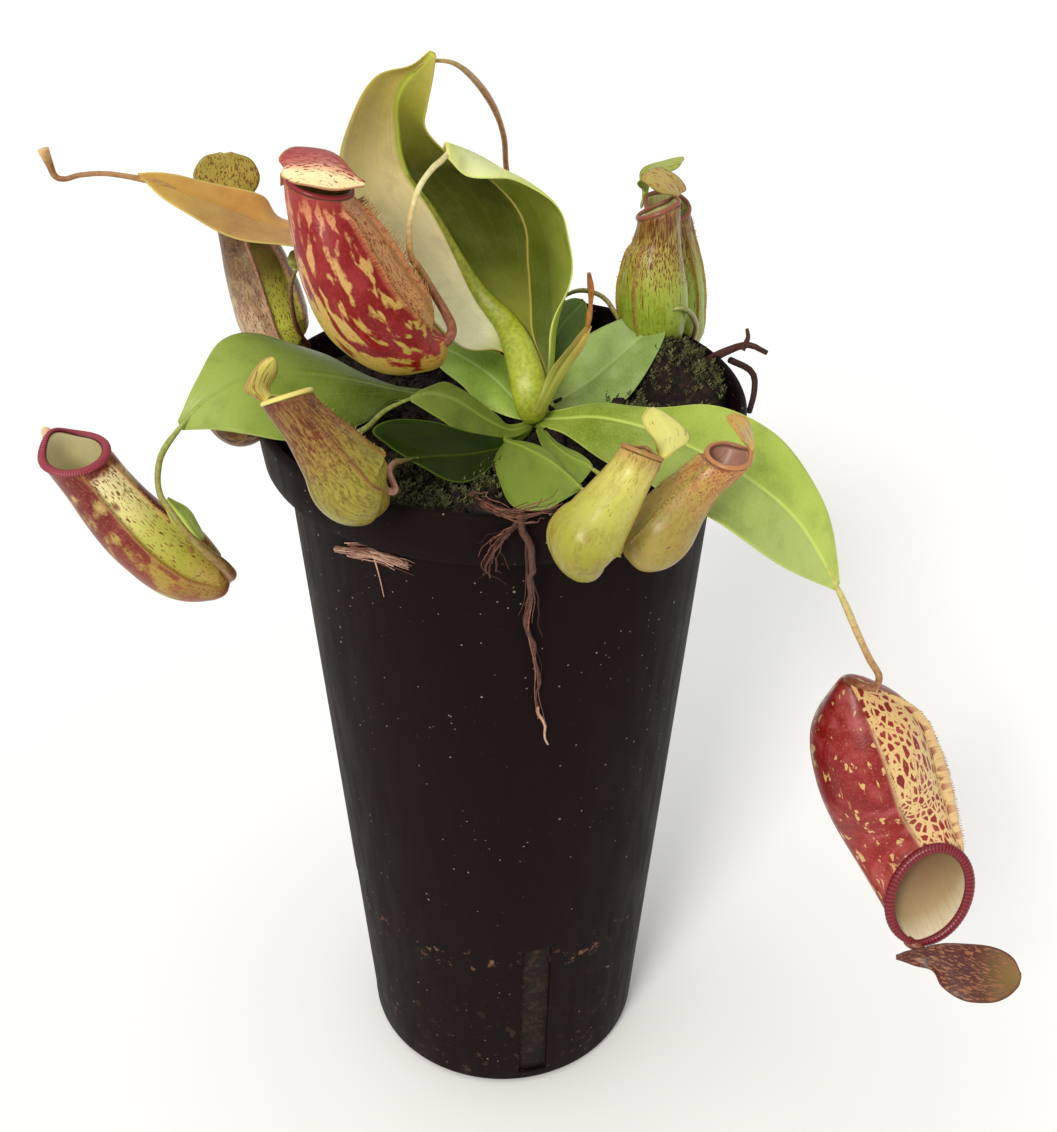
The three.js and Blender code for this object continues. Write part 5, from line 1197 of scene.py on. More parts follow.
leafNarrowBack = {
    "mid": [(541, 410, 3), (545, 380, 14), (550, 352, 24), (563, 324, 33), (584, 301, 41)],
    "left": [(538, 409, 4), (539, 376, 16), (537, 346, 28), (550, 314, 37), (570, 299, 42),
        (583, 299, 41)],
    "right": [(543, 410, 2), (552, 382, 11), (560, 360, 19), (582, 334, 30), (587, 313, 37),
        (586, 303, 41)],
    "fold": 0.4,
}

leafHiddenBack = {
    "mid": [(536, 410, 5), (532, 372, 26), (528, 342, 42), (538, 318, 52), (560, 298, 56)],
    "left": [(533, 410, 5), (522, 372, 29), (512, 342, 46), (522, 314, 58), (548, 296, 60),
        (559, 296, 56)],
    "right": [(538, 409, 5), (541, 372, 23), (545, 345, 38), (554, 322, 47), (563, 301, 55)], "fold": 0.3,
    "tendril": [(556, 300, 56), (573, 292, 54), (588, 291, 50), (604, 298, 45), (616, 314, 40),
        (634, 342, 35), (655, 354, 31), (669, 352, 30)],
    "thick": [0.7, 0.7, 0.9, 1.1],
}

leafSpear = {
    "mid": [(537, 414, -12.5), (545, 397, -12), (560, 368, -7), (578, 344, 0), (589, 326, 2)],
    "left": [(534, 412, -13), (541, 393, -12), (556, 363, -8), (574, 339, 0), (587, 325, 2)],
    "right": [(541, 416, -12), (551, 401, -11), (567, 373, -7), (583, 348, 0), (592, 326, 2)], "fold": 0.5,
    "tendril": [(587, 330, 1.5), (590, 310, 2), (591, 292, 2), (589, 273, 2)],
    "thick": [0.8, 0.6, 0.9, 0.5],
}

pitcherHero = {
    "axis": [(447, 341, -30, 3.2), (430, 344, -30, 6.8), (402, 333, -30, 10.6), (370, 308, -30, 11.9),
        (348, 270, -29, 11.2), (331, 232, -28, 9.4), (321, 203, -27, 8), (319, 187, -27, 7.7)],
    "mouth": {"normal": (0.22, -0.04, 0.97), "across": 7.7, "along": 8.2},
    "front": (0.97, -0.26, 0.05), "wings": (1.5, 1.7), "wingSpread": 28, "size": 1.5,
    "lip": {"width": 0.6, "height": 0.5, "flare": -0.15, "relief": 0.02},
    "lid": {
        "mid": [(292, 167, -26), (330, 167, -28), (365, 184, -30)],
        "left": [(281, 177, -28), (303, 186, -34), (332, 190, -35), (364, 187, -31)],
        "right": [(279, 160, -23), (296, 147, -18), (330, 152, -19), (365, 181, -29)],
    },
}

pitcherLeft = {
    "axis": [(231, 576, -42, 2.6), (214, 577, -43, 6.2), (183, 564, -44, 9.3), (146, 537, -45, 9.2),
        (112, 502, -46, 8.2), (88, 472, -47, 7.4), (75, 456, -48, 7.4)],
    "mouth": {"normal": (0.02, -0.16, 0.98), "across": 7.8, "along": 7.6},
    "front": (0.77, -0.61, 0.2), "wings": (0.8, 1.3), "wingSpread": 30, "size": 1.5,
    "lip": {"width": 1.15, "height": 0.6, "flare": 0.2, "relief": 0.09, "peak": 3.0, "peakWidth": 0.6},
}

pitcherRight = {
    "axis": [(846, 677, -42, 1.6), (853, 696, -42, 7.4), (862, 726, -42, 14.2), (873, 765, -43, 16),
        (884, 800, -44, 15.4), (898, 838, -47, 13.2), (915, 870, -54, 12), (929, 894, -64, 12)],
    "mouth": {"normal": (-0.02, -0.93, 0.36), "across": 10.5, "along": 14.3},
    "mouthBlend": 0.45, "oblique": True, "front": (0.3, 0.13, 0.95), "wings": (0.9, 2.9), "wingSpread": 37,
    "size": 1.5,
    "lip": {"width": 1.5, "height": 0.9, "flare": 0.3, "ribs": 76, "relief": 0.07},
    "lid": {
        "mid": [(896, 957, -73), (925, 957, -74), (955, 965, -76), (988, 975, -78), (1021, 976, -78)],
        "left": [(896, 956, -73), (918, 948, -73), (955, 943, -73), (985, 946, -74), (1004, 951, -75),
            (1015, 960, -76), (1021, 974, -78)],
        "right": [(896, 959, -73), (914, 966, -75), (932, 971, -77), (942, 987, -80), (964, 1001, -83),
            (990, 1003, -84), (1008, 997, -83), (1018, 987, -80), (1021, 978, -78)],
        "loose": True,
    },
}

pitcherFrontLeft = {
    "axis": [(389, 491, -67, 3.2), (379, 491, -67, 7), (355, 483, -68, 9.8), (334, 457, -68, 8.1),
        (312, 430, -68, 6.1), (296, 411, -68, 5.3), (288, 400, -68, 5.5)],
    "mouth": {"normal": (-0.3, 0.4, 0.86), "across": 5.7, "along": 5.5},
    "front": (0.8, -0.5, 0.3), "wings": (0.5, 0.5),
    "lip": {"width": 0.85, "height": 0.55, "flare": 0.1, "relief": 0},
    "lid": {
        "mid": [(260, 388, -65), (265, 373, -64), (274, 358, -63)],
        "left": [(245, 392, -68), (251, 374, -66), (263, 360, -64), (272, 356, -63)],
        "right": [(271, 388, -61), (276, 372, -61), (276, 359, -62)],
    },
}

pitcherFrontRight = {
    "axis": [(603, 562, -82, 2.4), (590, 557, -83, 6.4), (587, 539, -83, 8.3), (600, 519, -82, 6.7),
        (618, 493, -80, 5.4), (633, 470, -78, 4.7), (641, 455, -77, 4.7)],
    "mouth": {"normal": (0.35, 0.4, 0.85), "across": 4.9, "along": 4.8},
    "front": (-0.3, -0.95, 0.2), "wings": (0.8, 0.8), "wingSpread": 76, "hingeTurn": -50,
    "lip": {"width": 0.45, "height": 0.5, "flare": 0.1, "relief": 0},
    "lid": {
        "mid": [(668, 437, -76), (660, 423, -76), (650, 408, -76)],
        "left": [(652, 436, -79), (642, 419, -78), (648, 407, -77)],
        "right": [(689, 441, -71), (681, 425, -72), (664, 411, -74), (653, 407, -75)],
    },
}

pitcherFrontRightBack = {
    "axis": [(624, 554, -71, 2.4), (641, 547, -71, 6.4), (661, 531, -71, 7.6), (682, 504, -69, 6.2),
        (703, 481, -67, 5), (720, 466, -66, 4.8), (728, 458, -65, 5)],
    "mouth": {"normal": (0.1, -0.08, 0.99), "across": 5.3, "along": 5.2},
    "front": (-0.93, -0.3, 0.2), "wings": (0.8, 0.8),
    "lip": {"width": 0.65, "height": 0.5, "flare": 0.2, "relief": 0.01},
    "lid": {
        "mid": [(749, 438, -61), (741, 424, -60), (730, 414, -60)],
        "left": [(741, 441, -66), (734, 428, -64), (727, 417, -62)],
        "right": [(754, 437, -57), (746, 419, -57), (733, 413, -59)],
    },
}

pitcherBackRight = {
    "axis": [(668, 352, 30, 2.2), (662, 342, 29, 5.8), (655, 318, 28, 9), (653, 290, 28, 9.4),
        (654, 262, 29, 8.1), (657, 238, 30, 6.5), (659, 212, 30, 6.1)],
    "mouth": {"normal": (-0.38, 0.15, 0.91), "across": 6, "along": 6.3},
    "front": (-0.9, -0.4, 0.1), "wings": (0.9, 0.9),
    "lip": {"width": 0.6, "height": 0.6, "flare": 0.2, "relief": 0.02},
    "lid": {
        "mid": [(669, 186, 31), (656, 179, 29), (643, 178, 27)],
        "left": [(664, 194, 27), (652, 187, 25), (642, 181, 26)],
        "right": [(687, 190, 36), (678, 176, 36), (656, 168, 34), (642, 175, 28)], "flip": True,
    },
}

pitcherBackRightRear = {
    "axis": [(684, 352, 42, 2.2), (682, 338, 44, 6), (678, 305, 46, 7.6), (676, 275, 46, 7.3),
        (673, 250, 46, 6.5), (669, 227, 46, 6.2), (667, 208, 46, 6.6)],
    "mouth": {"normal": (0.1, -0.35, 0.93), "across": 6.4, "along": 6.6},
    "front": (0.85, -0.4, 0.2), "wings": (0.9, 0.9),
    "lip": {"width": 0.6, "height": 0.6, "flare": 0.2, "relief": 0.02},
    "lid": {
        "mid": [(652, 170, 47), (668, 164, 46), (684, 158, 46)],
        "left": [(641, 172, 52), (662, 160, 51), (683, 157, 48)],
        "right": [(637, 183, 42), (654, 176, 41), (674, 169, 42), (684, 160, 45)],
    },
}

pitcherBackLeft = {
    "axis": [(308, 345, 30, 2.3), (295, 345, 30, 6.6), (277, 325, 30, 9.7), (266, 295, 30, 9.8),
        (256, 265, 31, 8.8), (246, 238, 32, 7.4), (239, 214, 33, 7)],
    "mouth": {"normal": (0.05, -0.1, 0.99), "across": 7, "along": 7},
    "front": (0.6, -0.75, 0.1), "wings": (1.1, 1.1),
    "lip": {"width": 0.9, "height": 0.6, "flare": 0.2, "relief": 0.02},
    "lid": {
        "mid": [(227, 188, 40), (227, 170, 41), (225, 153, 42)],
        "left": [(203, 194, 38), (193, 176, 39), (202, 158, 40), (220, 152, 42)],
        "right": [(251, 195, 41), (260, 178, 42), (251, 159, 43), (231, 152, 42)],
    },
}
pitcherLowLeft = {
    "axis": [(268, 416, -13, 1.8), (257, 425, -12, 3.8), (240, 427, -11, 5.2), (226, 419, -10, 4.9),
        (219, 405, -10, 4.2), (217, 391, -10, 4.2)],
    "mouth": {"normal": (-0.1, 0.1, 0.97), "across": 4.3, "along": 4.3},
    "front": (0.7, -0.6, 0.2), "wings": (0, 0),
}

pitcherBack = {
    "axis": [(530, 292, 49, 2.2), (518, 300, 49, 5.6), (504, 286, 49, 7.4), (496, 262, 51, 7),
        (490, 240, 53, 6), (486, 222, 54, 6)],
    "mouth": {"normal": (-0.1, 0.2, 0.97), "across": 6, "along": 6},
    "front": (0.6, 0.7, 0.1), "wings": (0.9, 0.9),
    "lip": {"width": 0.9, "height": 0.6, "flare": 0.2, "relief": 0.02},
    "lid": {
        "mid": [(474, 206, 55), (484, 199, 57), (500, 199, 59)],
        "left": [(470, 202, 63), (486, 199, 65), (501, 200, 61)],
        "right": [(476, 211, 48), (490, 204, 50), (501, 202, 56)],
    },
}

leafLooks = {
    # olive: the left half's near-white stops are partly the leaf's silvery tone and partly painted sheen;
    # the right half's dark middle stops are painted shade
    "olive": {
        "left": [(0, "#bcc850"), (0.12, "#bcc650"), (0.22, "#fffcd0"), (0.45, "#f3e6b5"),
            (0.7, "#e8d393"), (0.85, "#ccb866"), (1, "#b09c48")],
        "right": [(0, "#bcc850"), (0.1, "#b0bc44"), (0.2, "#8c943c"), (0.4, "#49510f"), (0.65, "#353c06"),
            (0.85, "#888830"), (1, "#b3ab4e")],
        "under": "#9a964c", "pale": "#8e8c50", "deep": "#34380a", "rib": "#b4c048", "edge": "#b8a850",
        "mottle": 0.1, "shade": 0.16, "grain": 0.05, "veins": 0.1, "ribShow": 0.85, "ribWidth": 1.6,
        "gloss": 0.12,
    },
    # hood: the dip at 0.3 in the left half is painted shade, and the near-white band from 0.8 to 0.9 in
    # both halves is painted glow of light through the blade
    "hood": {
        "left": [(0, "#bdca4d"), (0.3, "#8fa527"), (0.6, "#b6c449"), (0.8, "#d3de76"), (0.9, "#ffffe5"),
            (1, "#e0d38f")],
        "right": [(0, "#bdca4d"), (0.35, "#a9b93c"), (0.65, "#c4d152"), (0.82, "#f4f9b7"),
            (0.9, "#ffffe5"), (1, "#e0d38f")],
        "under": "#c6d35b", "pale": "#dee990", "deep": "#546216", "rib": "#b9c649", "edge": "#e1ee83",
        "veins": 0.16, "ribShow": 0.14, "gloss": 0.2,
    },
    "left": {
        "left": [(0, "#6c7f1e"), (0.2, "#384606"), (0.45, "#45540f"), (0.62, "#657727"),
            (0.85, "#899b3e"), (1, "#9bae58")],
        "right": [(0, "#6c7f1e"), (0.2, "#344105"), (0.45, "#43530e"), (0.62, "#627524"),
            (0.85, "#8b9d40"), (1, "#9daf5a")],
        "under": "#929c56", "pale": "#94a64d", "deep": "#263406", "rib": "#7f9139", "edge": "#9dac56",
    },
    # right: the pale rib tone and the paler stops towards the tip are partly the leaf's own tone and partly
    # painted sheen
    "right": {
        "left": [(0, "#8a9d35"), (0.2, "#748923"), (0.45, "#94a83c"), (0.7, "#9eb348"), (0.88, "#aebf56"),
            (1, "#a8b858")],
        "right": [(0, "#8a9d35"), (0.2, "#6b7f1c"), (0.45, "#8ca044"), (0.7, "#9bae5a"),
            (0.88, "#acbd68"), (1, "#b0c060")],
        "under": "#93a04a", "pale": "#c2cf74", "deep": "#4c5e14", "rib": "#d1e475", "edge": "#c0cd68",
    },
    "orange": {
        "left": [(0, "#8fa035"), (0.18, "#a0802e"), (0.5, "#b48442"), (0.8, "#b48a4f"), (1, "#c4a048")],
        "right": [(0, "#8fa035"), (0.2, "#b08032"), (0.5, "#c48e48"), (0.8, "#cc944b"), (1, "#c8a048")],
        "under": "#b49044", "pale": "#dcb46c", "deep": "#865420", "rib": "#c8984f", "edge": "#dccb77",
        "mottle": 0.24,
    },
    "brown": {
        "left": [(0, "#809f37"), (0.4, "#737a2d"), (1, "#828437")],
        "right": [(0, "#809f37"), (0.4, "#798034"), (1, "#8f9147")], "under": "#717a30", "pale": "#a4b258",
        "deep": "#434a18", "rib": "#a6b558", "edge": "#989745",
    },
    "fresh": {
        "left": [(0, "#64761e"), (0.3, "#42540c"), (0.7, "#556b1b"), (1, "#6d822b")],
        "right": [(0, "#64761e"), (0.3, "#465910"), (0.7, "#596e1e"), (1, "#6d822b")], "under": "#82953b",
        "pale": "#869a3e", "deep": "#233108", "rib": "#91a642", "edge": "#98ae45",
    },
    "front": {
        "left": [(0, "#7d8c2b"), (0.3, "#5b6c1b"), (0.7, "#637423"), (1, "#778431")],
        "right": [(0, "#7d8c2b"), (0.3, "#5d6e1d"), (0.7, "#697929"), (1, "#778431")], "under": "#7d8a3a",
        "pale": "#94a446", "deep": "#2a3809", "rib": "#99a84a", "edge": "#93a248",
    },
    # dark: painted shade; the whole blade is darkened for the shade the low left leaf lies in
    "dark": {
        "left": [(0, "#35470b"), (0.4, "#152103"), (1, "#202c05")],
        "right": [(0, "#35470b"), (0.4, "#182704"), (1, "#253407")], "under": "#34430b", "pale": "#3d4e11",
        "deep": "#0a1202", "rib": "#445614", "edge": "#5f7420", "gloss": 0.1,
    },
    "narrow": {
        "left": [(0, "#68821a"), (0.4, "#405809"), (1, "#4d6614")],
        "right": [(0, "#68821a"), (0.4, "#425a0c"), (1, "#526b17")], "under": "#566d1a", "pale": "#6d8721",
        "deep": "#213204", "rib": "#738e2c", "edge": "#738e2c",
    },
    "grey": {
        "left": [(0, "#84943e"), (0.4, "#88a052"), (1, "#8ca45a")],
        "right": [(0, "#7a8a38"), (0.4, "#70883a"), (1, "#7e9648")], "under": "#8c9c5c", "pale": "#b0be8c",
        "deep": "#44541c", "rib": "#a2b26a", "edge": "#9aac62", "mottle": 0.3,
    },
    # shaded: the bright greens are painted light, raised above the leaf's own tone for a painted highlight
    # and against the shade of the leaves around it
    "shaded": {
        "left": [(0, "#b3c864"), (0.5, "#91b13b"), (1, "#a1bb5c")],
        "right": [(0, "#b3c864"), (0.5, "#93b342"), (1, "#a7c35e")], "under": "#a7bb68", "pale": "#d0ef87",
        "deep": "#49631b", "rib": "#d5ef9a", "edge": "#d0ea81",
    },
    "spear": {
        "left": [(0, "#8c9c38"), (0.6, "#98943c"), (1, "#b0843c")],
        "right": [(0, "#8c9c38"), (0.6, "#98943c"), (1, "#b0843c")], "under": "#908a38", "pale": "#b4b058",
        "deep": "#5a5a1c", "rib": "#a8a44c", "edge": "#a89a44",
    },
}
leafMaterials = {key: waxyLeaf("leafWaxy_" + key, look) for key, look in leafLooks.items()}
growLeaf("leaf_tall", leafTall, leafMaterials["olive"],
         [(0, "#b9a45a"), (0.3, "#b07e5c"), (0.7, "#a8704e"), (1, "#8e5a3c")], 110, 20,
         pitcher=pitcherBack)
growLeaf("leaf_hood", leafHood, leafMaterials["hood"],
         [(0, "#cfc68a"), (0.35, "#e0d6a0"), (0.6, "#b8854a"), (0.8, "#9a6238"), (1, "#8d5038")],
         90, 16, pitcher=pitcherHero)
growLeaf("leaf_left", leafLeft, leafMaterials["left"],
         [(0, "#9aa84e"), (0.35, "#9a9a50"), (0.6, "#94843c"), (0.8, "#94703a"), (1, "#84502c")],
         110, 20, pitcher=pitcherLeft)
growLeaf("leaf_right", leafRight, leafMaterials["right"],
         [(0, "#c6c870"), (0.35, "#cdb478"), (0.6, "#b48c58"), (0.78, "#8c5430"), (1, "#7c3a24")],
         110, 20, pitcher=pitcherRight)
growLeaf("leaf_orange", leafOrange, leafMaterials["orange"],
         [(0, "#c09a58"), (0.3, "#b08858"), (0.75, "#94683c"), (0.9, "#9c6c34"), (1, "#dcb880")],
         96, 18)
growLeaf("leaf_behind", leafBehind, leafMaterials["brown"],
         [(0, "#8a7c3c"), (0.6, "#7a4a30"), (1, "#6c3a28")], pitcher=pitcherBackLeft)
growLeaf("leaf_front_left", leafFrontLeft, leafMaterials["front"],
         [(0, "#93a244"), (0.5, "#8c8440"), (1, "#7a5034")], pitcher=pitcherLowLeft)
growLeaf("leaf_low_left", leafLowLeft, leafMaterials["dark"],
         [(0, "#6a7a2c"), (0.5, "#a07a5c"), (1, "#b08070")], pitcher=pitcherFrontLeft)
growLeaf("leaf_folded", leafFolded, leafMaterials["fresh"],
         [(0, "#a3b450"), (0.5, "#b8a860"), (1, "#c49a6c")], pitcher=pitcherFrontRight)
growLeaf("leaf_folded_behind", leafFoldedBehind, leafMaterials["fresh"],
         [(0, "#a3b450"), (0.5, "#b8a860"), (1, "#b08a5c")], pitcher=pitcherFrontRightBack)
growLeaf("leaf_shaded", leafShaded, leafMaterials["shaded"])
growLeaf("leaf_grey_right", leafGreyRight, leafMaterials["grey"],
         [(0, "#94a45c"), (0.5, "#a89a60"), (1, "#9a7a4c")], pitcher=pitcherBackRightRear)
growLeaf("leaf_narrow_back", leafNarrowBack, leafMaterials["narrow"])
growLeaf("leaf_hidden_back", leafHiddenBack, leafMaterials["shaded"],
         [(0, "#8a9a44"), (0.5, "#a09050"), (1, "#9a7a4c")], pitcher=pitcherBackRight)
growLeaf("leaf_spear", leafSpear, leafMaterials["spear"],
         [(0, "#b0843c"), (0.5, "#b9793a"), (1, "#9c5a2c")])

# the big leaf's fleshy stalk, which clasps the stem and runs out into the midrib
leafStalk = {
    "path": [(532, 424, -8), (531, 408, -8), (528, 388, -6), (523, 366, -2), (515, 342, 3), (503, 321, 8),
        (477, 289, 12.5), (436, 215, 16.5), (408, 175, 16.5)],
    "radii": [3.6, 4.7, 4.3, 3.4, 2.4, 1.5, 0.9, 0.6, 0.3], "depth": 0.72,
    "tones": [(0, "#94a02c"), (0.12, "#b0bc3b"), (0.35, "#a2b02f"), (0.6, "#9ca02f"), (1, "#898c29")],
}


def growStalk():
    steps, sides = 90, 24
    share = np.linspace(0, 1, steps)
    points = evenCurve(placeAll(leafStalk["path"]), share)
    rounded = np.sqrt(np.clip(1 - (1 - share / 0.07) ** 2, 0.05, 1))
    radii = radiiAlong(leafStalk["radii"], share) * (rounded * (share < 0.07) + (share >= 0.07))
    rings = roundLine(points, radii, sides)
    turn = np.linspace(0, 2 * math.pi, sides, endpoint=False)
    groove = 1 - 0.16 * np.exp(-((turn - 5.6) / 0.5) ** 2) - 0.06 * np.cos(3 * turn)
    rings = points[:, None] + (rings - points[:, None]) * groove[None, :, None]
    rings[..., 1] = points[:, None, 1] + (rings[..., 1] - points[:, None, 1]) * leafStalk["depth"]
    material = twiningTendril("stalkFleshy", leafStalk["tones"])
    growTube("leaf_tall_stalk", rings, material, ["leaf_tall"])


growStalk()
print("leaves grown")
